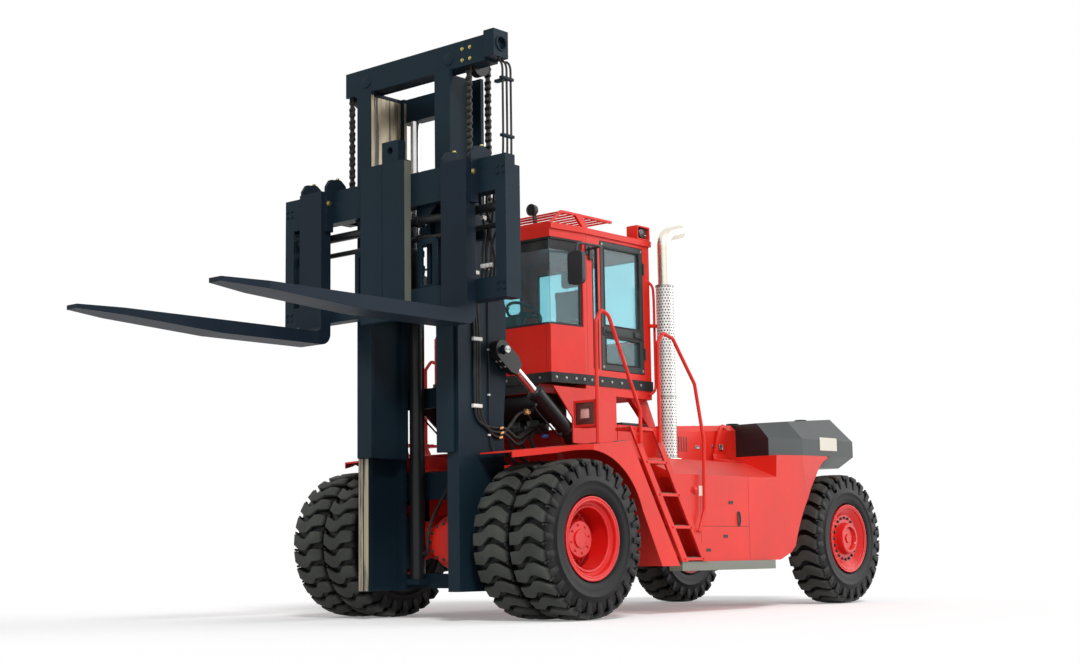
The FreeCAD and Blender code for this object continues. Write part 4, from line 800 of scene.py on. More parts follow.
def chainLink(first):
    # every other plate of a leaf chain and the pin at its lower end, standing on the origin
    deep, long = chain["depth"] / 2, chain["pitch"]
    corner = deep * 0.71
    outline = [(-deep, 0), (-corner, -corner), (0, -deep), (corner, -corner), (deep, 0),
               (deep * 0.5, long / 2), (deep, long), (corner, long + corner), (0, long + deep),
               (-corner, long + corner), (-deep, long), (-deep * 0.5, long / 2)]
    half = (chain["plates"] - 1) / 2
    pieces = []
    for k in range(first, chain["plates"], 2):
        x = (k - half) * chain["step"] - chain["plateWide"] / 2
        pieces.append(plate([(x, y, z) for y, z in outline], (chain["plateWide"], 0, 0), 0))
    reach = (half + 1) * chain["step"]
    pieces.append(stub((-reach, 0, 0), (reach, 0, 0), chain["pin"], 8))
    return joined(*pieces)


def chainPlaces():
    # where each link starts and which way it runs: up the front, over the sheave, down the rear
    sheave = sum(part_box("chain_sheaves"), Vector()) / 2
    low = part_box("carriage_chains")[0].z
    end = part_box("anchor_chains")[0].z
    radius = sheave.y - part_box("carriage_chains")[0].y - chain["inset"]
    rise, arc = sheave.z - low, math.pi * radius
    whole = rise + arc + sheave.z - end
    count = int(whole / chain["pitch"])
    spots = []
    for k in range(count):
        run = k * chain["pitch"] + (whole - count * chain["pitch"]) / 2
        if run < rise:
            spots.append((sheave.y - radius, low + run, 0.0))
        elif run < rise + arc:
            turn = (run - rise) / radius
            spots.append((sheave.y - radius * math.cos(turn), sheave.z + radius * math.sin(turn), turn))
        else:
            spots.append((sheave.y + radius, sheave.z - (run - rise - arc), math.pi))
    return spots


def fitChains():
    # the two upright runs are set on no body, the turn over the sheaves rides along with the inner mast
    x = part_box("carriage_chains")[1].x - 0.035
    links = [chainLink(0), chainLink(1)]
    runs = {"front": [], "over": [], "rear": []}
    for k, (y, z, turn) in enumerate(chainPlaces()):
        part = "over" if 0 < turn < math.pi else "rear" if turn else "front"
        runs[part].append(copyOf(links[k % 2], (x, y, z), Matrix.Rotation(-turn, 4, "X")))
    for link in links:
        bpy.data.objects.remove(link)
    over = done(withMirror(joined(*runs["over"])), "sheave_chains", "chain_steel", "mast_inner")
    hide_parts("carriage_chains", "anchor_chains")
    for part, body, node in (("front", "fork_carriage", "carriage_chains"),
                             ("rear", "mast_outer", "anchor_chains")):
        run = done(withMirror(joined(*runs[part])), f"{part}_lift_chains", "chain_steel", None, 0.5)
        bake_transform(run)
    print("chains hung")


crosshead = {"face": -0.75, "bolts": ((0.778, 5.357), (0.878, 5.357), (0.778, 5.247), (0.878, 5.247)),
             "plugs": ((-0.546, 5.305), (0.6, 5.3)), "pipes": (-0.652, -0.596, -0.54), "pipeX": 1.2,
             "pipeLow": 4.085, "pipeStep": 0.055, "pipeHigh": 5.2, "pipeRadius": 0.011, "barBack": -0.83,
             "collar": (1.199, -0.67, 5.34), "clampWide": 0.02, "clamps": (5.0, 4.45)}


def dressCrosshead():
    y = crosshead["face"]
    heads = bolts([at(x, y, z) for x, z in crosshead["bolts"]], (0, -1, 0), 0.026, 0.014)
    done(heads, "crosshead_bolts", "mast_paint", "mast_inner", finish="zinc_yellow")
    plugs = [lathe([(-0.012, 0.0), (-0.012, 0.045), (-0.008, 0.062), (0.0, 0.066)], at(x, y, z), "Y", 40)
             for x, z in crosshead["plugs"]]
    done(joined(*plugs), "crosshead_plugs", "mast_paint", "mast_inner", 0.6)
    collar = lathe([(0.0, 0.058), (0.012, 0.06), (0.014, 0.072), (0.0, 0.076)],
                   at(*crosshead["collar"]), "X", 40)
    done(collar, "crosshead_collar", "mast_paint", "mast_inner", 0.6)
    # three hoses hang from the crosshead and turn forward into the back of the carriage's upper bar
    x, top, back = crosshead["pipeX"], crosshead["pipeHigh"], crosshead["barBack"]
    hoses, ends = [], []
    for k, y in enumerate(crosshead["pipes"]):
        foot = crosshead["pipeLow"] - crosshead["pipeStep"] * k
        hoses.append(tube([at(x - 0.06, y, top), at(x, y, top - 0.02), at(x, y, top - 0.2),
                           at(x, y, foot + 0.2), at(x, y - 0.03, foot + 0.05), at(x, back + 0.08, foot),
                           at(x, back + 0.004, foot)],
                          crosshead["pipeRadius"]))
        ends.append(stub(at(x, back + 0.0005, foot), at(x, back + 0.03, foot), 0.018, 6))
    hung = done(joined(*hoses), "crosshead_hoses", "rubber_black", None, 0.8)
    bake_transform(hung)
    done(joined(*ends), "crosshead_hose_ends", "chrome_rod", "fork_carriage", finish="zinc_yellow")
    wide = crosshead["clampWide"]
    clamps = [block(at(x - wide, -0.68, z), at(x + wide, -0.512, z + 0.03), 0.005)
              for z in crosshead["clamps"]]
    arm = block(at(1.06, -0.62, 5.0), at(1.185, -0.57, 5.03), 0.006)
    done(joined(arm, *clamps), "crosshead_hose_clamps", "mast_paint", "mast_inner", 0.6)


rails = {"low": 0.276, "high": 1.545, "face": (-0.7385, -0.7372),
         "strips": ((-0.672, -0.612), (-0.598, -0.536)), "innerLow": 3.95, "innerHigh": 5.15,
         "soften": 0.0004, "inner": (((-0.4849, -0.4837), (-0.738, -0.338)),
                                     ((-0.4398, -0.4386), (-0.782, -0.75)),
                   ((-0.4398, -0.4386), (-0.328, -0.292)))}


def greaseRails():
    # bare running faces: two strips down an outer front flange, three inside each inner rail
    (y0, y1), soften = rails["face"], rails["soften"]
    strips = [block(at(x0, y0, rails["low"]), at(x1, y1, rails["high"]), soften, 1)
              for x0, x1 in rails["strips"]]
    done(joined(*strips), "outer_rail_track", "mast_paint", "mast_outer", finish="track_steel")
    faces = [block(at(x0, y0, rails["innerLow"]), at(x1, y1, rails["innerHigh"]), soften, 1)
             for (x0, x1), (y0, y1) in rails["inner"]]
    done(withMirror(joined(*faces)), "inner_rail_tracks", "mast_paint", "mast_inner", finish="track_steel")


mastHoses = {"x": 0.694, "gap": 0.034, "radius": 0.0135,
             "low": ((-0.165, 1.8), (-0.158, 1.755), (-0.175, 1.71)),
             "route": ((-0.55, 3.86), (-0.55, 3.5), (-0.53, 3.0), (-0.495, 2.62),
                       (-0.505, 2.25), (-0.505, 1.98)),
             "clamps": ((-0.497, 2.617), (-0.506, 1.985), (-0.53, 3.25)),
             "thin": ((0.688, -0.335, 3.7), (0.688, -0.332, 2.9), (0.688, -0.332, 2.3), (0.688, -0.33, 1.66),
                      (0.688, -0.25, 1.52), (0.7, -0.16, 1.49)),
             "thinRadius": 0.007, "thinClamps": (3.3, 2.53, 2.1, 1.72)}


def fitMastHoses():
    # three supply hoses and a thin line down the outer mast, turning back to the chassis at the bottom
    x, runs = mastHoses["x"], []
    for k, (yEnd, zEnd) in enumerate(mastHoses["low"]):
        y = (k - 1) * mastHoses["gap"]
        upper = [at(x, way + y, z) for way, z in mastHoses["route"]]
        lower = [at(x, -0.46 + y * 1.2, 1.84), at(x, -0.33 + y, 1.76 - y), at(x, -0.23, zEnd - 0.01),
                 at(x, yEnd, zEnd)]
        runs.append(tube(upper + lower, mastHoses["radius"]))
    thin = tube([at(*spot) for spot in mastHoses["thin"]], mastHoses["thinRadius"])
    done(joined(thin, *runs), "mast_side_hoses", "rubber_black", "mast_outer", 0.8)
    clamps = [block(at(0.678, y - 0.06, z - 0.018), at(0.712, y + 0.062, z + 0.018), 0.006)
              for y, z in mastHoses["clamps"]]
    clamps += [block(at(0.678, -0.345, z - 0.009), at(0.698, -0.32, z + 0.009), 0.003)
               for z in mastHoses["thinClamps"]]
    done(joined(*clamps), "mast_hose_clamps", "mast_paint", "mast_outer", 0.6, "clamp_white")
    ends = [stub(at(x, y - 0.035, z - 0.012), at(x, y + 0.012, z), 0.017, 6) for y, z in mastHoses["low"]]
    done(joined(*ends), "mast_hose_ends", "chrome_rod", "mast_outer", finish="brass")


tilt = {"x": 0.76, "foot": (0.804, 1.747), "head": (-0.254, 2.525), "capFace": 0.857}
lift = {"y": -0.25, "x": 0.355, "top": 3.62,
        "ports": ((0.62, 0.245, 0.024), (3.45, 0.25, 0.022)), "portX": 0.285,
        "feed": ((0.25, -0.25, 0.62), (0.19, -0.27, 0.62), (0.16, -0.31, 0.8), (0.12, -0.27, 1.0),
                 (0.0, -0.2, 1.22), (0.0, -0.17, 1.3)), "feedRadius": 0.016}
gussets = ((2.26, 2.4, 0.36), (1.43, 1.6, 0.34))


def dressMast():
    # tilt pin caps, cross-bar gussets, clasp bolts, and the lift cylinders' glands, ports and feed hoses
    x, (y, z) = tilt["capFace"], tilt["head"]
    pinEnd = lathe([(0.0, 0.0), (0.012, 0.0), (0.012, 0.034), (0.006, 0.038), (0.0, 0.038)],
                   at(x, y, z), "X", 40)
    pinBolts = bolts([at(x + 0.012, y + side * 0.02, z) for side in (1, -1)], (1, 0, 0), 0.014, 0.008)
    done(withMirror(joined(pinEnd, pinBolts)), "tilt_pin_caps", "chrome_rod", "mast_outer",
         finish="bolt_steel")
    corners = [plate([at(0.5, -0.168, low), at(0.5, -0.168, high), at(inner, -0.168, low)],
                     (0, 0.012, 0), 0.002)
               for low, high, inner in gussets]
    done(withMirror(joined(*corners)), "mast_gussets", "mast_paint", "mast_outer")
    claspBolts = bolts([at(0.652, y, z) for y in (-0.2, 0.0) for z in (0.53, 0.94)], (1, 0, 0), 0.05, 0.022)
    done(withMirror(claspBolts), "clasp_bolts", "mast_paint", "mast_outer", finish="bolt_steel")
    gland = lathe([(-0.05, 0.055), (-0.05, 0.082), (0.0, 0.084), (0.012, 0.076), (0.012, 0.056)],
                  at(lift["x"], lift["y"], lift["top"]), "Z", 40)
    port = joined(*[stub(at(lift["portX"], lift["y"], z), at(end, lift["y"], z), radius, 6)
                    for z, end, radius in lift["ports"]])
    done(withMirror(joined(gland, port)), "lift_cylinder_glands", "cylinder_black", "mast_outer", 0.6)
    feed = tube([at(*spot) for spot in lift["feed"]], lift["feedRadius"])
    done(withMirror(feed), "lift_cylinder_hoses", "rubber_black", "mast_outer", 0.8)


fitChains()
dressCrosshead()
greaseRails()
fitMastHoses()
dressMast()
print("mast dressed")


column = {"side": 0.3, "front": -1.06, "back": -0.972, "low": 2.81, "high": 4.31}
forkScrews = ((((1.172, -1.03, 4.06), (1.172, -0.8, 4.12)), (1, 0, 0), 0.04, 0.014),
              (((0.788, -1.03, 4.06), (0.788, -0.8, 4.12)), (-1, 0, 0), 0.04, 0.014),
              (((1.155, -0.9, 4.32), (0.805, -0.9, 4.32)), (0, 0, 1), 0.03, 0.016))


def dressCarriage():
    # lighter grey-green plates on the column sides as painted sheen, end plate bolts, web plates with a
    # window, and the positioner rods' collars
    # painted sheen: a thin grey-green plate on each column side stands for the light these side faces catch
    sideSheen = block(at(column["side"], column["front"] + 0.004, column["low"]),
                 at(column["side"] + 0.0012, column["back"], column["high"]), 0.0004, 1)
    done(withMirror(sideSheen), "column_side_sheen_plates", "mast_paint", "fork_carriage", finish="step_grey")
    heads = bolts([at(x, -0.97, z) for x in (1.41, 1.475) for z in (2.96, 3.02, 4.02, 4.08)],
                  (0, -1, 0), 0.024, 0.012)
    done(withMirror(heads), "end_plate_bolts", "mast_paint", "fork_carriage")
    corner = plate([at(0.302, -0.9, 3.868), at(0.302, -0.9, 3.7), at(0.42, -0.9, 3.7), at(0.55, -0.9, 3.868)],
                   (0, 0.03, 0), 0.003)
    window = frameOf(at(0.302, -0.9, 3.06), at(0.56, -0.86, 3.56), 0.06, 1, 0.012)
    done(withMirror(joined(corner, window)), "carriage_web_plates", "mast_paint", "fork_carriage")
    collars = []
    for x in (0.302, 1.325):
        for bore, outside, y, z in ((0.0425, 0.06, -0.875, 3.74), (0.0255, 0.046, -0.87, 3.57)):
            ring = [(0.0, bore), (0.0, outside), (0.05, outside), (0.052, bore)]
            collars.append(lathe(ring, at(x, y, z), "X", 32))
    done(withMirror(joined(*collars)), "positioner_collars", "cylinder_black", "fork_carriage", 0.6)


carriageHoses = {"radius": 0.014, "y": -0.8,
                 "routes": (((1.04, 3.9), (1.035, 3.74), (1.11, 3.56), (1.06, 3.38), (1.07, 3.22),
                             (1.045, 3.1), (1.03, 3.0)),
                            ((1.12, 3.9), (1.1, 3.76), (1.17, 3.58), (1.11, 3.4), (1.12, 3.22),
                             (1.1, 3.12), (1.06, 3.0)),
                            ((1.34, 3.9), (1.335, 3.74), (1.27, 3.58), (1.17, 3.44), (1.16, 3.24),
                             (1.15, 3.12), (1.12, 3.0)),
                            ((1.2, 3.9), (1.19, 3.7), (1.14, 3.5), (1.21, 3.3), (1.19, 3.14), (1.2, 3.0)))}


def fitCarriageHoses():
    # the hoses of the sliding forks' cylinders, looped behind the carriage's open left end
    runs = []
    for k, route in enumerate(carriageHoses["routes"]):
        y = carriageHoses["y"] + 0.004 * k
        runs.append(tube([at(x, y, z) for x, z in route], carriageHoses["radius"]))
    done(joined(*runs), "carriage_hoses", "rubber_black", "fork_carriage", 0.8)
    clamps = [block(at(x - 0.022, -0.82, 3.205), at(x + 0.022, -0.755, 3.245), 0.006)
              for x in (1.068, 1.122, 1.165)]
    clamps.append(block(at(1.04, -0.815, 3.66), at(1.08, -0.76, 3.7), 0.006))
    done(joined(*clamps), "carriage_hose_clamps", "mast_paint", "fork_carriage", 0.6, finish="clamp_white")
    fittings = [stub(at(x, -0.8, 2.985), at(x, -0.8, 3.05), 0.021, 6) for x in (1.03, 1.075, 1.125, 1.2)]
    fittings.append(joined(stub(at(1.0, -0.985, 2.93), at(1.0, -0.985, 3.06), 0.016, 6),
                           stub(at(1.0, -0.985, 3.0), at(1.0, -0.965, 3.0), 0.02, 6)))
    bar = block(at(0.98, -0.828, 2.95), at(1.3, -0.77, 2.985), 0.005)
    done(joined(*fittings), "carriage_hose_fittings", "chrome_rod", "fork_carriage", finish="zinc_yellow")
    done(bar, "hose_bulkhead", "mast_paint", "fork_carriage")


def dressForks():
    # the screws of each fork's two hooks, on both cheeks and on top
    heads = joined(*[bolts([at(*spot) for spot in spots], outward, across, height)
                     for spots, outward, across, height in forkScrews])
    for side, copy in sides.items():
        done(copy(heads), f"fork_screws_{side}", "fork_steel", f"{side}_fork", finish="zinc_yellow")
    bpy.data.objects.remove(heads)


dressCarriage()
fitCarriageHoses()
dressForks()
print("carriage dressed")


cab = {"half": 0.85, "nose": 0.8, "front": 0.45, "pillar": 0.92, "floor": 2.37}


def cabSkirt(gap, low, high, thick, start=0.0):
    # a strip bent round the cab's front between both door pillars, standing gap outside its walls
    pieces = [block(at(-cab["nose"] + start, cab["front"] - gap - thick, low),
                    at(cab["nose"] - start, cab["front"] - gap, high), 0.0008, 1)]
    for side in (1, -1):
        x0, y0 = cab["nose"] + gap, cab["front"] - gap
        x1, y1 = cab["half"] + gap, cab["pillar"] - 0.03
        pieces.append(plate([at(side * x0, y0, low), at(side * x1, y1, low), at(side * x1, y1, high),
                             at(side * x0, y0, high)], (side * thick, 0, 0), 0.0008, 1))
    return joined(*pieces)


def dressCabShell():
    # tinted strip, glass seals, window posts, apron and panel seams
    done(cabSkirt(-0.017, 3.6, 3.718, 0.0015, 0.03), "sun_strip", "rubber_black")
    done(joined(cabSkirt(-0.012, 2.846, 2.866, 0.01, 0.02), cabSkirt(-0.012, 3.7, 3.719, 0.01, 0.02)),
         "windshield_seal", "rubber_black")
    seals = [frameOf(at(0.826, 1.048, 2.441), at(0.853, 1.139, 3.699), 0.014),
             frameOf(at(-0.853, 1.181, 2.861), at(-0.826, 1.879, 3.699), 0.018),
             frameOf(at(-0.689, 1.974, 2.801), at(0.689, 2.003, 3.679), 0.018, 1)]
    posts = [block(at(side * 0.823 - 0.012, 0.862, 2.85), at(side * 0.823 + 0.012, 0.898, 3.715), 0.003)
             for side in (1, -1)]
    done(joined(*seals, *posts), "cab_window_seals", "rubber_black")
    done(block(at(0.851, 0.985, 3.54), at(0.874, 1.03, 3.68), 0.004), "pillar_bracket", "cab_trim")
    done(block(at(-0.63, 0.4462, 2.181), at(0.63, 0.4494, 2.268), 0.001, 1), "cab_apron", "rubber_black")
    seam = [block(at(x, 0.4492, 2.385), at(x + 0.004, 0.4502, 2.84), 0.0003, 1) for x in (-0.74, 0.74)]
    seam.append(block(at(0.8497, 0.955, 2.385), at(0.8505, 0.959, 3.79), 0.0003, 1))
    done(joined(*seam), "cab_panel_seams", "body_red", finish="rubber_black")


def bandBolts():
    # a row of bolts round the band under the cab
    level = cab["floor"] - 0.05
    front = bolts([at(-0.66 + 0.22 * k, 0.438, level) for k in range(7)], (0, -1, 0), 0.019, 0.009)
    side = bolts([at(0.862, 1.0 + 0.16 * k, level) for k in range(6)], (1, 0, 0), 0.019, 0.009)
    taper = Vector((0.482, -0.05, 0)).normalized()
    nose = bolts([at(0.812 + 0.05 * t, 0.438 + 0.477 * t, level) for t in (0.14, 0.42, 0.7, 0.94)],
                 taper, 0.019, 0.009)
    rear = bolts([at(-0.7 + 0.28 * k, 2.012, level) for k in range(6)], (0, 1, 0), 0.019, 0.009)
    done(joined(front, rear, withMirror(joined(side, nose))), "band_bolts", "rubber_black",
         finish="bolt_steel")


roofLamp = {"low": (0.715, 1.8, 3.862), "high": (0.862, 2.015, 4.015)}


def roofDetails():
    # lamp box, work lamps on their arms and the roof's ribbed skin
    box = tray(at(*roofLamp["low"]), at(*roofLamp["high"]), 0.018, 0.09, (1, 0, 0), 0.006)
    done(box, "roof_lamp_box", "body_red")
    lamp = lathe([(-0.06, 0.0), (-0.06, 0.035), (-0.02, 0.056), (0.0, 0.06), (0.004, 0.056), (-0.01, 0.045),
                  (-0.012, 0.0)], at(0.848, 1.905, 3.94), "X", 40)
    done(lamp, "roof_box_lamp", "cab_trim", smooth=0.6, finish="screen_dark")
    body = lathe([(0.08, 0.0), (0.08, 0.03), (0.05, 0.055), (0.0, 0.062), (-0.008, 0.058),
                  (0.004, 0.048), (0.01, 0.0)],
                 at(0.52, 0.5, 4.03), "Y", 32)
    arm = joined(block(at(0.505, 0.54, 3.862), at(0.535, 0.6, 3.9), 0.004),
                 plate([at(0.512, 0.54, 3.87), at(0.512, 0.6, 3.87), at(0.512, 0.57, 4.01),
                        at(0.512, 0.53, 4.01)],
                       (0.016, 0, 0), 0.003))
    done(withMirror(joined(body, arm)), "work_lamps", "cab_trim", smooth=0.6)
    lens = lathe([(0.0, 0.0), (0.0, 0.046), (0.005, 0.046), (0.006, 0.0)], at(0.52, 0.498, 4.03), "Y", 32)
    done(withMirror(lens), "work_lamp_glass", "glass_teal", smooth=0.6, finish="screen_dark")
    skin = plate([at(-0.8, 0.47, 3.8605), at(0.8, 0.47, 3.8605), at(0.845, 0.93, 3.8605),
                  at(0.845, 1.98, 3.8605), at(-0.845, 1.98, 3.8605), at(-0.845, 0.93, 3.8605)],
                 (0, 0, 0.006), 0.002)
    ribs = [block(at(-0.78, 1.55 + 0.13 * k, 3.864), at(0.68, 1.59 + 0.13 * k, 3.872), 0.003)
            for k in range(3)]
    done(joined(skin, *ribs), "roof_skin", "body_red")


mirror = {"x": 1.06, "y": 0.55, "z": 3.38, "wide": 0.095, "tall": 0.165, "deep": 0.028, "corner": 0.05}


def roundedPanel(x, y, z, wide, tall, corner, deep):
    # an upright panel with round corners, its face towards the front
    turns = [k * math.pi / 12 for k in range(7)]
    outline = []
    for quarter, (sx, sz) in enumerate(((1, 1), (-1, 1), (-1, -1), (1, -1))):
        for turn in turns:
            angle = turn + quarter * math.pi / 2
            outline.append(at(x + sx * (wide - corner) + corner * math.cos(angle), y,
                              z + sz * (tall - corner) + corner * math.sin(angle)))
    return plate(outline, (0, deep, 0), 0)


def fitMirrors():
    x, y, z = mirror["x"], mirror["y"], mirror["z"]
    head = roundedPanel(x, y - mirror["deep"], z, mirror["wide"], mirror["tall"], mirror["corner"],
                        2 * mirror["deep"])
    openUp(head, "FACE")
    pickFaces(head, lambda face: face.normal.y > 0.9)
    bpy.ops.mesh.inset(thickness=0.012)
    bpy.ops.mesh.extrude_region_move(TRANSFORM_OT_translate={"value": (0, -0.008, 0)})
    closeUp()
    roundOff(head, 0.018, 4, 0.9)
    pane = roundedPanel(x, y + 0.0205, z, mirror["wide"] - 0.014, mirror["tall"] - 0.014,
                        mirror["corner"] - 0.01, 0.0015)
    arm = tube([at(0.852, 0.965, 3.64), at(0.93, 0.965, 3.645), at(1.055, 0.955, 3.645), at(1.06, 0.83, 3.64),
                at(1.06, 0.6, 3.635), at(1.06, 0.555, 3.62), at(1.06, 0.55, 3.5)], 0.0125)
    foot = joined(block(at(0.851, 0.935, 3.59), at(0.862, 0.995, 3.69), 0.004),
                  block(at(1.04, 0.53, 3.5), at(1.08, 0.57, 3.56), 0.006))
    piece = done(withMirror(joined(head, arm, foot)), "mirror_heads", "cab_trim", smooth=0.6)
    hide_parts("mirrors")
    done(withMirror(pane), "mirror_panes", "glass_teal", finish="chrome_rod")


def dressDoor():
    # glass seals, lock rail, handle and corner screws
    seals = joined(frameOf(at(0.829, 1.231, 2.891), at(0.858, 1.829, 3.709), 0.014),
                   frameOf(at(0.829, 1.241, 2.501), at(0.858, 1.819, 2.779), 0.014))
    done(seals, "door_seals", "rubber_black", "door")
    ledge = block(at(0.8545, 1.2, 2.79), at(0.862, 1.86, 2.88), 0.004)
    catch = joined(block(at(0.862, 1.235, 2.815), at(0.874, 1.35, 2.855), 0.005),
                   block(at(0.862, 1.7, 2.805), at(0.876, 1.82, 2.865), 0.006))
    done(joined(ledge, catch), "door_lock_rail", "door_grey", "door")
    grip = tube([at(0.862, 1.255, 2.835), at(0.895, 1.265, 2.835), at(0.9, 1.32, 2.835),
                 at(0.895, 1.375, 2.835), at(0.862, 1.385, 2.835)], 0.008)
    done(grip, "door_handle", "cab_trim", "door", 0.8)
    corner = bolts([at(0.854, y, z) for y in (1.205, 1.855) for z in (2.47, 3.73)], (1, 0, 0), 0.018, 0.006)
    done(corner, "door_screws", "door_grey", "door", finish="bolt_steel")


seat = {"cloth": 4, "frames": 20, "cap": 0.024, "voxel": 0.008}
pads = {"seat_base_pad": ((-0.225, 1.31, 2.708), (0.225, 1.775, 2.812)),
        "seat_back_pad": ((-0.215, 1.672, 2.838), (0.215, 1.782, 3.42))}


def softPad(name, low, high):
    # a bolster swelled under pressure inside its cover, then smoothed
    pad = block(at(*low), at(*high), 0.03, 3)
    modify(pad, "REMESH", mode="VOXEL", voxel_size=seat["voxel"])
    still = [vert.co.copy() for vert in pad.data.vertices]
    choose(pad)
    tool = pad.modifiers.new("cloth", "CLOTH")
    tool.settings.use_pressure = True
    tool.settings.uniform_pressure_force = seat["cloth"]
    tool.settings.effector_weights.gravity = 0
    for step in range(1, seat["frames"] + 1):
        scene.frame_set(step)
    bpy.ops.object.modifier_apply(modifier="cloth")
    scene.frame_set(1)
    for vert, start in zip(pad.data.vertices, still):
        move = vert.co - start
        if move.length > seat["cap"]:
            vert.co = start + move.normalized() * seat["cap"]
    modify(pad, "SUBSURF", levels=1, render_levels=1)
    piece = done(pad, name, "seat_cloth", smooth=1.0)
    return piece


def fitSeat():
    made = [softPad(name, *corners) for name, corners in pads.items()]
    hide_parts("seat_cushions")
    rest = block(at(-0.13, 1.7, 3.44), at(0.13, 1.775, 3.62), 0.03, 4)
    done(rest, "head_rest", "seat_cloth", smooth=0.9)
    arms = [block(at(side * 0.29 - 0.035, 1.38, 3.0), at(side * 0.29 + 0.035, 1.72, 3.05), 0.018, 3)
            for side in (1, -1)]
    done(joined(*arms), "arm_rests", "cab_trim", smooth=0.8)
    posts = [stub(at(side * 0.29, 1.66, 2.7), at(side * 0.29, 1.7, 3.01), 0.016, 20) for side in (1, -1)]
    posts += [stub(at(x, 1.74, 3.4), at(x, 1.74, 3.46), 0.008, 16) for x in (-0.06, 0.06)]
    done(joined(*posts), "seat_posts", "chrome_rod", smooth=0.8)


def fitControls():
    levers = []
    for k in range(4):
        x, y = -0.44 + 0.04 * k, 1.24 + 0.02 * k
        levers.append(stub(at(x, y, 2.925), at(x, y - 0.02, 3.04), 0.006, 12))
        levers.append(lathe([(-0.018, 0.0), (-0.014, 0.012), (0.0, 0.017), (0.014, 0.013), (0.02, 0.0)],
                            at(x, y - 0.021, 3.05), "Z", 20))
    pedals = [plate([at(x, 0.74, 2.43), at(x + 0.09, 0.74, 2.43), at(x + 0.09, 0.8, 2.53), at(x, 0.8, 2.53)],
                    (0, 0.012, 0.0), 0.004) for x in (-0.25, -0.02, 0.16)]
    hub = lathe([(-0.02, 0.0), (-0.02, 0.045), (0.0, 0.055), (0.02, 0.05), (0.024, 0.0)],
                at(0.0, 0.96, 3.07), "Z", 32)
    rims = [at(0.165 * math.cos(a), 0.96 + 0.137 * math.sin(a), 3.07 - 0.092 * math.sin(a))
            for a in (0.5, 2.64)]
    spokes = [stub(at(0.0, 0.96, 3.07), end, 0.011, 12) for end in rims]
    panel = tray(at(-0.19, 0.6, 2.84), at(0.19, 0.7, 3.0), 0.012, 0.006, (0, 1, 0), 0.01)
    wheelKnob = lathe([(0.0, 0.012), (0.02, 0.02), (0.045, 0.018), (0.055, 0.0)],
                      at(-0.15, 0.88, 3.125), "Z", 20)
    done(joined(hub, panel, wheelKnob, *levers, *pedals, *spokes), "cab_controls", "cab_trim", smooth=0.7)
    screen = tray(at(-0.62, 1.02, 3.05), at(-0.58, 1.24, 3.22), 0.012, 0.004, (1, 0, 0), 0.005)
    post = stub(at(-0.6, 1.13, 2.93), at(-0.6, 1.13, 3.06), 0.012, 16)
    done(joined(screen, post), "cab_display", "cab_trim", smooth=0.6, finish="screen_dark")
    lining = [block(at(-0.795, 1.955, 2.42), at(0.795, 1.9545, 2.79), 0.0002, 1),
              block(at(-0.79, 0.5, 2.4105), at(0.79, 1.94, 2.416), 0.002, 1)]
    done(joined(*lining), "cab_floor_mat", "cab_trim", finish="rubber_black")


dressCabShell()
bandBolts()
roofDetails()
fitMirrors()
dressDoor()
fitSeat()
fitControls()
print("cab dressed")


def fitStackGuard():
    x, y = stack["x"], stack["y"]
    guard = lathe([(stack["low"], stack["radius"] + 0.0004), (stack["low"], stack["radius"] + 0.0014),
                   (stack["high"], stack["radius"] + 0.0014), (stack["high"], stack["radius"] + 0.0004)],
                  at(x, y, 0), "Z", 96)
    done(guard, "stack_guard", "stack_steel", smooth=0.7, finish="guard_mesh")
    rings = [lathe([(z, stack["radius"] + 0.0015), (z, stack["radius"] + 0.006),
                    (z + 0.02, stack["radius"] + 0.006), (z + 0.02, stack["radius"] + 0.0015)],
                   at(x, y, 0), "Z", 64)
             for z in (stack["low"], stack["ring"], stack["high"] - 0.02)]
    done(joined(*rings), "stack_rings", "stack_steel", smooth=0.6, finish="bolt_steel")
    arm = plate([at(0.851, 1.96, 2.94), at(0.9, 1.97, 2.94), at(0.915, 2.03, 2.94), at(0.895, 2.05, 2.94),
                 at(0.851, 2.0, 2.94)], (0, 0, 0.035), 0.004)
    done(arm, "stack_bracket", "body_red", smooth=0.6)
    rail = tube([at(0.852, 1.985, 3.42), at(0.866, 2.03, 3.4), at(0.866, 2.05, 3.3), at(0.866, 2.05, 2.9),
                 at(0.866, 2.05, 2.42), at(0.866, 2.05, 2.3), at(0.864, 2.0, 2.25), at(0.855, 1.94, 2.225)],
                0.014)
    done(rail, "cab_rear_rail", "body_red", smooth=0.9)


belly = {"low": -0.6, "high": 0.6, "blocks": (-0.45, -0.2, 0.05, 0.3), "hoses": 5, "hoseStep": 0.14,
         "hoseRadius": 0.02, "crossRadius": 0.019, "thinCrossRadius": 0.0125}


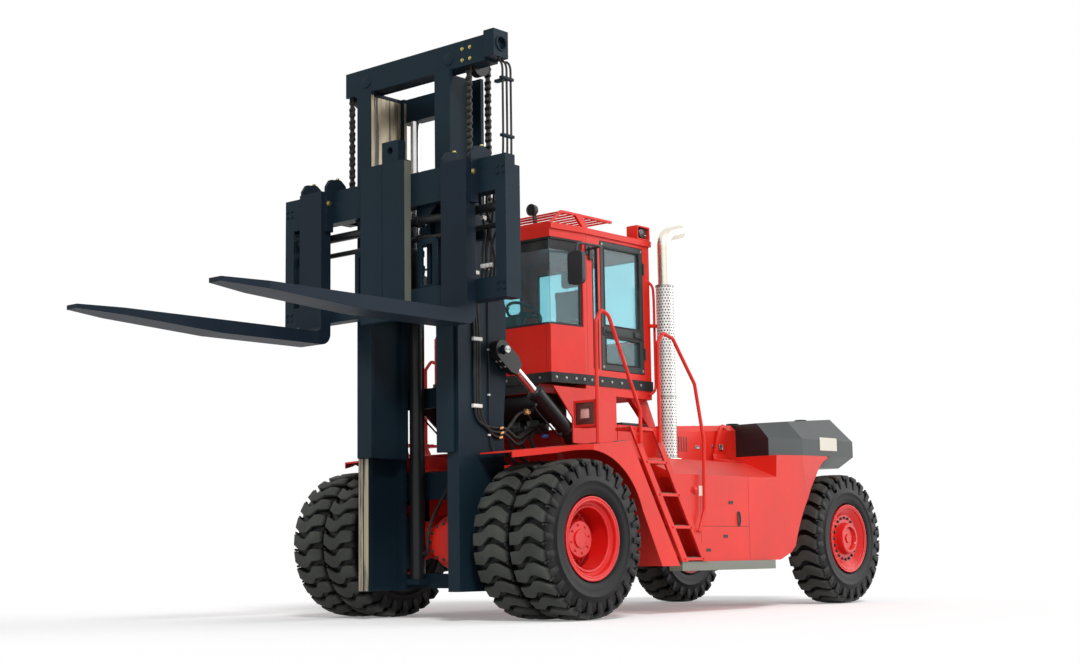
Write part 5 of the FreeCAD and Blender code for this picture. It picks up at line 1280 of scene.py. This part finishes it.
def fitBelly():
    # a black cover under the cab's floor put in as painted shade of the shaded underside, the valve gear hung
    # there, its hoses and the two that cross to the mast
    side = [(0.47, 2.175), (0.93, 2.175), (0.93, 1.93), (0.8, 1.9), (0.62, 1.95), (0.5, 2.06)]
    # painted shade: this black box stands for the shaded underside of the cab's floor
    box = plate([at(belly["low"], y, z) for y, z in side], (belly["high"] - belly["low"], 0, 0), 0.035, 4)
    done(box, "belly_shade_cover", "cylinder_black", smooth=0.6)
    blocks = [block(at(x, 0.64, 1.8), at(x + 0.16, 0.8, 1.93), 0.006) for x in belly["blocks"]]
    spools = [stub(at(x + 0.04 + d, 0.65, 1.86), at(x + 0.04 + d, 0.6, 1.86), 0.02, 6)
              for x in belly["blocks"] for d in (0, 0.08)]
    done(joined(*blocks, *spools), "valve_blocks", "axle_black")
    hoses = []
    for k in range(belly["hoses"]):
        x = 0.5 - belly["hoseStep"] * k
        hoses.append(tube([at(x, 0.66, 1.84), at(x, 0.54, 1.83), at(x - 0.03, 0.48, 1.72),
                           at(x - 0.02, 0.6, 1.6), at(x, 0.76, 1.5)], belly["hoseRadius"]))
    hoses.append(tube([at(0.66, 0.47, 2.1), at(0.68, 0.36, 2.05), at(0.655, 0.3, 1.97),
                       at(0.66, 0.233, 1.965)], 0.014))
    done(joined(*hoses), "valve_hoses", "rubber_black", smooth=0.8)
    fitting = joined(stub(at(0.66, 0.2, 1.967), at(0.66, 0.28, 1.97), 0.02, 6),
                     block(at(0.64, 0.222, 1.945), at(0.68, 0.262, 2.0), 0.004))
    done(fitting, "cross_hose_joint", "chrome_rod", finish="brass")
    small = tube([at(0.66, 0.25, 1.95), at(0.655, 0.33, 1.88), at(0.655, 0.42, 1.8), at(0.655, 0.5, 1.755)],
                 0.006)
    done(small, "grease_line", "rubber_black", smooth=0.8)
    cap = lathe([(-0.03, 0.0), (-0.03, 0.018), (0.02, 0.022), (0.03, 0.016), (0.03, 0.0)],
                at(0.655, 0.51, 1.75), "Y", 24)
    done(cap, "grease_cap", "cylinder_black", smooth=0.6, finish="cap_blue")
    routes = {"mast_cross_hose_a": [(0.69, -0.165, 1.8), (0.67, -0.05, 1.78), (0.64, 0.1, 1.7),
                                    (0.56, 0.3, 1.76), (0.5, 0.5, 1.84), (0.5, 0.66, 1.88)],
              "mast_cross_hose_b": [(0.69, -0.158, 1.755), (0.66, -0.03, 1.72), (0.62, 0.12, 1.64),
                                    (0.54, 0.32, 1.7), (0.46, 0.5, 1.8), (0.45, 0.66, 1.85)],
              "mast_cross_hose_c": [(0.69, -0.175, 1.71), (0.68, -0.02, 1.83), (0.67, 0.08, 1.93),
                                    (0.662, 0.16, 1.965), (0.66, 0.21, 1.967)]}
    for name, route in routes.items():
        radius = belly["thinCrossRadius"] if name == "mast_cross_hose_c" else belly["crossRadius"]
        run = done(tube([at(*spot) for spot in route], radius), name, "rubber_black", None, 0.8)
        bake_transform(run)


fender = {"top": 1.545, "rise": 0.115, "run": 1.16}
headLamp = {"x": 1.414, "z": 1.905}


def dressFenders():
    # ribbed step pads and the lamps in their cages
    z0, rise = fender["top"], fender["rise"] / fender["run"]
    pad = plate([at(1.18, 0.5, z0 + 1.0 * rise + 0.0006), at(1.56, 0.5, z0 + 1.0 * rise + 0.0006),
                 at(1.56, 0.65, z0 + 1.15 * rise + 0.0006), at(1.18, 0.65, z0 + 1.15 * rise + 0.0006)],
                (0, 0, 0.003), 0.001, 1)
    ribs = [block(at(1.2, 0.52 + 0.03 * k, z0 + (1.02 + 0.03 * k) * rise + 0.003),
                  at(1.54, 0.528 + 0.03 * k, z0 + (1.02 + 0.03 * k) * rise + 0.0075), 0.001, 1)
            for k in range(4)]
    done(withMirror(joined(pad, *ribs)), "fender_step_pads", "step_grey")
    cage = frameOf(at(1.304, 0.202, 1.804), at(1.524, 0.207, 2.006), 0.055, 1, 0.001)
    done(withMirror(cage), "lamp_cages", "cab_trim", finish="lamp_mesh")
    shell = lathe([(0.06, 0.0), (0.055, 0.05), (0.02, 0.074), (0.0, 0.078), (-0.006, 0.074), (0.006, 0.068)],
                  at(headLamp["x"], 0.215, headLamp["z"]), "Y", 40)
    done(withMirror(shell), "head_lamp_bowls", "chrome_rod", smooth=0.7, finish="bolt_steel")
    # the lamp glass takes the reddish lens finish, a painted reflection
    lens = lathe([(-0.006, 0.0), (-0.003, 0.05), (0.003, 0.069), (0.006, 0.069), (0.004, 0.0)],
                 at(headLamp["x"], 0.213, headLamp["z"]), "Y", 40)
    done(withMirror(lens), "head_lamp_glass", "glass_teal", smooth=0.7, finish="lens_red_reflection")


ladder = {"steps": 5, "pitch": 0.312, "lean": 0.79 / 1.29, "foot": 1.48, "strips": 5}


def ladderStep(k):
    # how far back and how high above the first tread a tread stands
    return ladder["foot"] - k * ladder["pitch"] * ladder["lean"], ladder["pitch"] * k


def dressLadders():
    # ribbed tread tops and side screws
    pads, screws = [], []
    for k in range(ladder["steps"]):
        y, rise = ladderStep(k)
        z = 0.52 + rise + 0.028
        pads.append(block(at(1.39, y + 0.02, z), at(1.565, y + 0.36, z + 0.003), 0.001, 1))
        for row in range(ladder["strips"]):
            start = y + 0.065 * row
            pads.append(block(at(1.4, start + 0.05, z + 0.003),
                              at(1.555, start + 0.062, z + 0.009), 0.001, 1))
        z = 0.5 + rise + 0.034
        screws += [at(1.58, y + 0.03, z), at(1.58, y + 0.345, z)]
    done(withMirror(joined(*pads)), "ladder_tread_strips", "step_grey")
    done(withMirror(bolts(screws, (1, 0, 0), 0.02, 0.008)), "ladder_screws", "body_red")


sideBody = {"x": 1.5503, "cap": (1.736, 1.214), "handle": (2.5, 0.936),
            "latches": ((2.364, 1.1), (2.257, 0.757), (1.95, 0.62)), "seam": 0.858, "panel": (1.835, 2.69),
            "panelHigh": (0.53, 1.365), "skin": 1.5504}


def seamStrip(y0, z0, y1, z1):
    # a thin dark line on the side body's face
    return block(at(sideBody["x"] - 0.0002, min(y0, y1) - 0.002, min(z0, z1) - 0.002),
                 at(sideBody["x"] + 0.0006, max(y0, y1) + 0.002, max(z0, z1) + 0.002), 0.0002, 1)


def dressSideBodies():
    # panel seams, fuel cap and tag, latches, gutters and the deck's grip pads
    (y0, y1), (z0, z1), skin = sideBody["panel"], sideBody["panelHigh"], sideBody["skin"]
    seams = [seamStrip(y0, sideBody["seam"], y1, sideBody["seam"]), seamStrip(y0, z0, y0, z1),
             seamStrip(y1, z0, y1, z1)]
    done(withMirror(joined(*seams)), "side_panel_seams", "body_red", finish="rubber_black")
    y, z = sideBody["cap"]
    cap = lathe([(-0.002, 0.0), (-0.002, 0.045), (0.004, 0.047), (0.008, 0.036),
                 (0.02, 0.034), (0.024, 0.028), (0.024, 0.0)], at(sideBody["x"], y, z), "X", 40)
    grip = block(at(1.573, y - 0.026, z - 0.006), at(1.582, y + 0.026, z + 0.006), 0.003)
    done(joined(cap, grip), "fuel_cap", "body_red", smooth=0.6, finish="rim_red")
    tag = block(at(skin, y + 0.075, z - 0.055), at(1.5516, y + 0.135, z + 0.045), 0.0005, 1)
    done(tag, "blank_tag", "cab_trim", finish="plate_pale")
    latches = [tray(at(skin, ly - 0.035, lz - 0.016), at(1.556, ly + 0.035, lz + 0.016), 0.005, 0.003,
                    (1, 0, 0), 0.002)
               for ly, lz in sideBody["latches"]]
    hy, hz = sideBody["handle"]
    pull = tray(at(skin, hy - 0.024, hz - 0.075), at(1.557, hy + 0.024, hz + 0.075), 0.006, 0.004,
                (1, 0, 0), 0.003)
    bar = tube([at(1.553, hy, hz - 0.055), at(1.572, hy, hz - 0.05), at(1.575, hy, hz),
                at(1.572, hy, hz + 0.05), at(1.553, hy, hz + 0.055)], 0.006)
    done(withMirror(joined(pull, bar, *latches)), "side_latches", "cab_trim")
    lip = block(at(1.05, 1.66, 1.5555), at(1.085, 3.2, 1.562), 0.002)
    done(withMirror(lip), "deck_gutters", "body_red")
    treads = [block(at(0.9, 1.7 + 0.16 * k, 1.5556), at(1.03, 1.78 + 0.16 * k, 1.5595), 0.0015, 1)
              for k in range(9)]
    done(withMirror(joined(*treads)), "deck_grip_pads", "step_grey")


hood = {"skin": 0.8604, "slotSkin": 0.8603, "slots": 6, "slotStep": 0.045, "ridges": (2.45, 2.75, 3.05),
        "base": 1.905, "start": 2.25, "slope": 0.054, "vents": 8, "ventStep": 0.07}
bracket = {"x": 0.878, "eye": (3.212, 1.925), "bore": 0.021}


def dressHood():
    # rear bracket with its eye, latches, air slots, ribs, deck slots, filler cap and tool tray
    outline = [(3.0, 1.556), (3.27, 1.556), (3.285, 1.93), (3.26, 1.975), (3.21, 1.985),
               (3.155, 1.965), (3.125, 1.91)]
    eye = plate([at(bracket["x"], y, z) for y, z in outline], (0.024, 0, 0), 0.004)
    cutOut(eye, stub(at(0.86, *bracket["eye"]), at(0.92, *bracket["eye"]), bracket["bore"], 24))
    foot = plate([at(0.9, 3.0, 1.5562), at(1.098, 3.0, 1.5562), at(1.098, 3.0, 1.572), at(0.92, 3.0, 1.6),
                  at(0.9, 3.0, 1.66)],
                 (0, 0.27, 0), 0.006)
    lock = tray(at(0.903, 3.1, 1.7), at(0.922, 3.17, 1.76), 0.008, 0.005, (1, 0, 0), 0.003)
    done(joined(eye, foot), "hood_side_bracket", "body_red")
    done(lock, "bracket_lock", "cab_trim", finish="bolt_steel")
    latch = joined(tray(at(hood["skin"], 2.72, 1.7), at(0.87, 2.8, 1.735), 0.006, 0.004, (1, 0, 0), 0.003),
                   tray(at(hood["skin"], 3.04, 1.73), at(0.87, 3.1, 1.755), 0.005, 0.003, (1, 0, 0), 0.003))
    done(latch, "hood_latches", "cab_trim", "hood", finish="bolt_steel")
    step, skin = hood["slotStep"], hood["slotSkin"]
    slots = [block(at(skin, 2.34 + step * k, 1.66), at(0.8635, 2.355 + step * k, 1.82), 0.0015, 1)
             for k in range(hood["slots"])]
    done(joined(*slots), "hood_air_slots", "cab_trim", "hood")
    levels = [(y, hood["base"] + (y - hood["start"]) * hood["slope"]) for y in hood["ridges"]]
    ridge = [block(at(-0.62, y, z + 0.0215), at(0.62, y + 0.05, z + 0.032), 0.004) for y, z in levels]
    done(joined(*ridge), "hood_ribs", "body_red", "hood")
    step = hood["ventStep"]
    vents = [block(at(-0.6, 1.52 + step * k, 1.8955), at(0.6, 1.545 + step * k, 1.901), 0.002, 1)
             for k in range(hood["vents"])]
    done(joined(*vents), "engine_deck_slots", "cab_trim")
    tank = lathe([(0.0, 0.0), (0.0, 0.055), (0.03, 0.055), (0.036, 0.045), (0.036, 0.0)],
                 at(-0.55, 2.14, 1.895), "Z", 32)
    done(tank, "filler_cap", "rubber_black", smooth=0.6)
    dark = block(at(0.68, 1.5, 1.896), at(0.84, 1.9, 1.925), 0.008)
    done(dark, "deck_tool_tray", "cab_trim", finish="weight_paint")


weight = {"half": 1.42, "rearHalf": 0.9, "facet": 3.98, "rear": 5.95, "bevelLow": 1.9048, "bevelTilt": 34.5,
          "topLow": 1.995, "topStart": 3.5, "topSlope": 0.0822}
tailLamp = {"x": 0.62, "sides": (1, -1), "tray": (-0.11, 0.11), "red": (-0.095, 0.01), "amber": (0.02, 0.095)}
rearPlate = {"y": (4.62, 5.28), "z": (1.735, 1.885), "climb": 0.024, "gap": 0.002, "thick": 0.0022}


def facetSpot(y, z, out=0.0):
    # a place on the counterweight's rear left facet
    slope = (weight["half"] - weight["rearHalf"]) / (weight["rear"] - weight["facet"])
    x = weight["half"] - (y - weight["facet"]) * slope
    away = Vector((1, slope, 0)).normalized() * out
    return at(x, y, z) + away


def onBevel(piece):
    # lays a piece built round the origin on the slope above the counterweight's rear face
    lean = Matrix.Rotation(math.radians(weight["bevelTilt"]), 4, "X")
    piece.data.transform(Matrix.Translation(at(0, weight["rear"], weight["bevelLow"])) @ lean)
    return piece


def lampPair(part):
    # the same panel of both tail lamps
    left, right = tailLamp[part]
    middles = [side * tailLamp["x"] for side in tailLamp["sides"]]
    return onBevel(joined(*[block((x + left, 0.0055, 0.067), (x + right, 0.0135, 0.143), 0.003)
                            for x in middles]))


def dressCounterweight():
    # blank plate, lifting eyes and the tail lamps in their boxes
    (y0, y1), (low, high), gap, climb = rearPlate["y"], rearPlate["z"], rearPlate["gap"], rearPlate["climb"]
    card = [facetSpot(y0, low, gap), facetSpot(y1, low + climb, gap), facetSpot(y1, high + climb, gap),
            facetSpot(y0, high, gap)]
    piece = plate(card, Vector((1, 0.26, 0)).normalized() * rearPlate["thick"], 0.0006, 1)
    done(piece, "blank_rear_plate", "cab_trim", finish="plate_pale")
    eyes = [lathe([(-0.004, 0.0), (-0.004, 0.07), (0.014, 0.074), (0.018, 0.06),
                   (0.006, 0.052), (0.004, 0.0)],
                  at(side * 0.55, y, weight["topLow"] + (y - weight["topStart"]) * weight["topSlope"]), "Z",
                  40)
            for side in (1, -1) for y in (3.9, 5.35)]
    done(joined(*eyes), "lifting_eyes", "weight_paint", smooth=0.6)
    left, right = tailLamp["tray"]
    middles = [side * tailLamp["x"] for side in tailLamp["sides"]]
    boxes = [tray((x + left, 0.0005, 0.055), (x + right, 0.012, 0.155), 0.012, 0.006, (0, 1, 0), 0.004)
             for x in middles]
    done(onBevel(joined(*boxes)), "tail_lamp_boxes", "cab_trim")
    done(lampPair("red"), "tail_lamps", "body_red", finish="lens_red")
    done(lampPair("amber"), "rear_turn_lamps", "body_red", finish="lens_amber")


driveRing = {"radius": 0.17, "bolts": 12, "face": -0.254}
steering = {"back": 0.175, "glandX": 0.33, "lineX": 0.25, "lineRadius": 0.011}
tow = {"y": 5.88, "low": 0.8, "high": 1.09, "radius": 0.0245}


def dressAxles():
    # rings, cover and bolts of the drive axle, glands and hoses of the steering cylinder, and the tow pin
    ribs = [lathe([(x, 0.15), (x, 0.168), (x + 0.03, 0.168), (x + 0.03, 0.15)],
                  at(0, 0, frontAxle.z), "X", 64)
            for x in (0.3, 0.5)]
    cover = lathe([(-0.262, 0.0), (-0.262, 0.1), (-0.256, 0.16), (-0.24, 0.19)],
                  at(0, 0, frontAxle.z), "Y", 48)
    done(joined(cover, withMirror(joined(*ribs))), "drive_axle_rings", "body_red", smooth=0.6)
    reach = driveRing["radius"]
    turns = [k * 2 * math.pi / driveRing["bolts"] for k in range(driveRing["bolts"])]
    ring = bolts([at(reach * math.cos(a), driveRing["face"], frontAxle.z + reach * math.sin(a))
                  for a in turns],
                 (0, -1, 0), 0.026, 0.012)
    done(ring, "drive_axle_bolts", "axle_black")
    y, z, x = rearAxle.y - frontAxle.y + steering["back"], rearAxle.z, steering["glandX"]
    gland = lathe([(x, 0.0305), (x, 0.066), (x + 0.04, 0.066), (x + 0.045, 0.0305)], at(0, y, z), "X", 32)
    done(withMirror(gland), "steering_glands", "axle_black", smooth=0.6)
    x = steering["lineX"]
    line = tube([at(x, y, z + 0.055), at(x, y + 0.01, z + 0.12), at(0.18, y + 0.02, z + 0.2),
                 at(0.12, y, z + 0.255)],
                steering["lineRadius"])
    done(withMirror(line), "steering_hoses", "rubber_black", smooth=0.8)
    pin = stub(at(0, tow["y"], tow["low"]), at(0, tow["y"], tow["high"]), tow["radius"], 24, 0.003)
    knob = lathe([(1.031, 0.0), (1.031, 0.042), (1.045, 0.042), (1.05, 0.03), (1.05, 0.0)],
                 at(0, tow["y"], 0), "Z", 24)
    done(joined(pin, knob), "tow_pin", "axle_black", smooth=0.6, finish="bolt_steel")


def dressTiltCylinders():
    # end rings, ports and pipe on the barrels, wipers at the rods, keeper screws on the rod heads
    foot, head = at(tilt["x"], *tilt["foot"]), at(tilt["x"], *tilt["head"])
    way = (head - foot).normalized()
    over = Vector((1, 0, 0)).cross(way).normalized()
    lie = way.to_track_quat("X", "Z").to_matrix().to_4x4()

    def along(far, up=0.0):
        return foot + way * far + over * up

    def ringAt(far, profile):
        ring = lathe(profile, (0, 0, 0), "X", 48)
        ring.data.transform(Matrix.Translation(along(far)) @ lie)
        return ring

    rings = [ringAt(far, [(0.0, 0.079), (0.0, 0.08 + grow), (0.045, 0.08 + grow), (0.049, 0.079)])
             for far, grow in ((0.085, 0.004), (0.655, 0.006))]
    gland = ringAt(0.7, [(0.0, 0.0425), (0.0, 0.07), (0.012, 0.066), (0.014, 0.0425)])
    ports = [stub(along(far, 0.075), along(far, 0.115), 0.02, 6) for far in (0.16, 0.62)]
    pipe = tube([along(0.62, 0.11), along(0.6, 0.135), along(0.45, 0.13), along(0.25, 0.13),
                 along(0.16, 0.11)], 0.009)
    done(withMirror(joined(gland, pipe, *rings, *ports)), "tilt_cylinder_fittings", "cylinder_black",
         "tilt_cylinder_barrels", 0.6)
    clampBolts = bolts([head - way * far + over * 0.096 + Vector((x, 0, 0))
                        for far in (0.05, 0.13) for x in (-0.025, 0.025)], over, 0.02, 0.01)
    done(withMirror(clampBolts), "rod_head_screws", "cylinder_black", "tilt_cylinder_rods",
         finish="bolt_steel")


fitStackGuard()
fitBelly()
dressFenders()
dressLadders()
dressSideBodies()
dressHood()
dressCounterweight()
dressAxles()
dressTiltCylinders()
print("bodywork dressed")
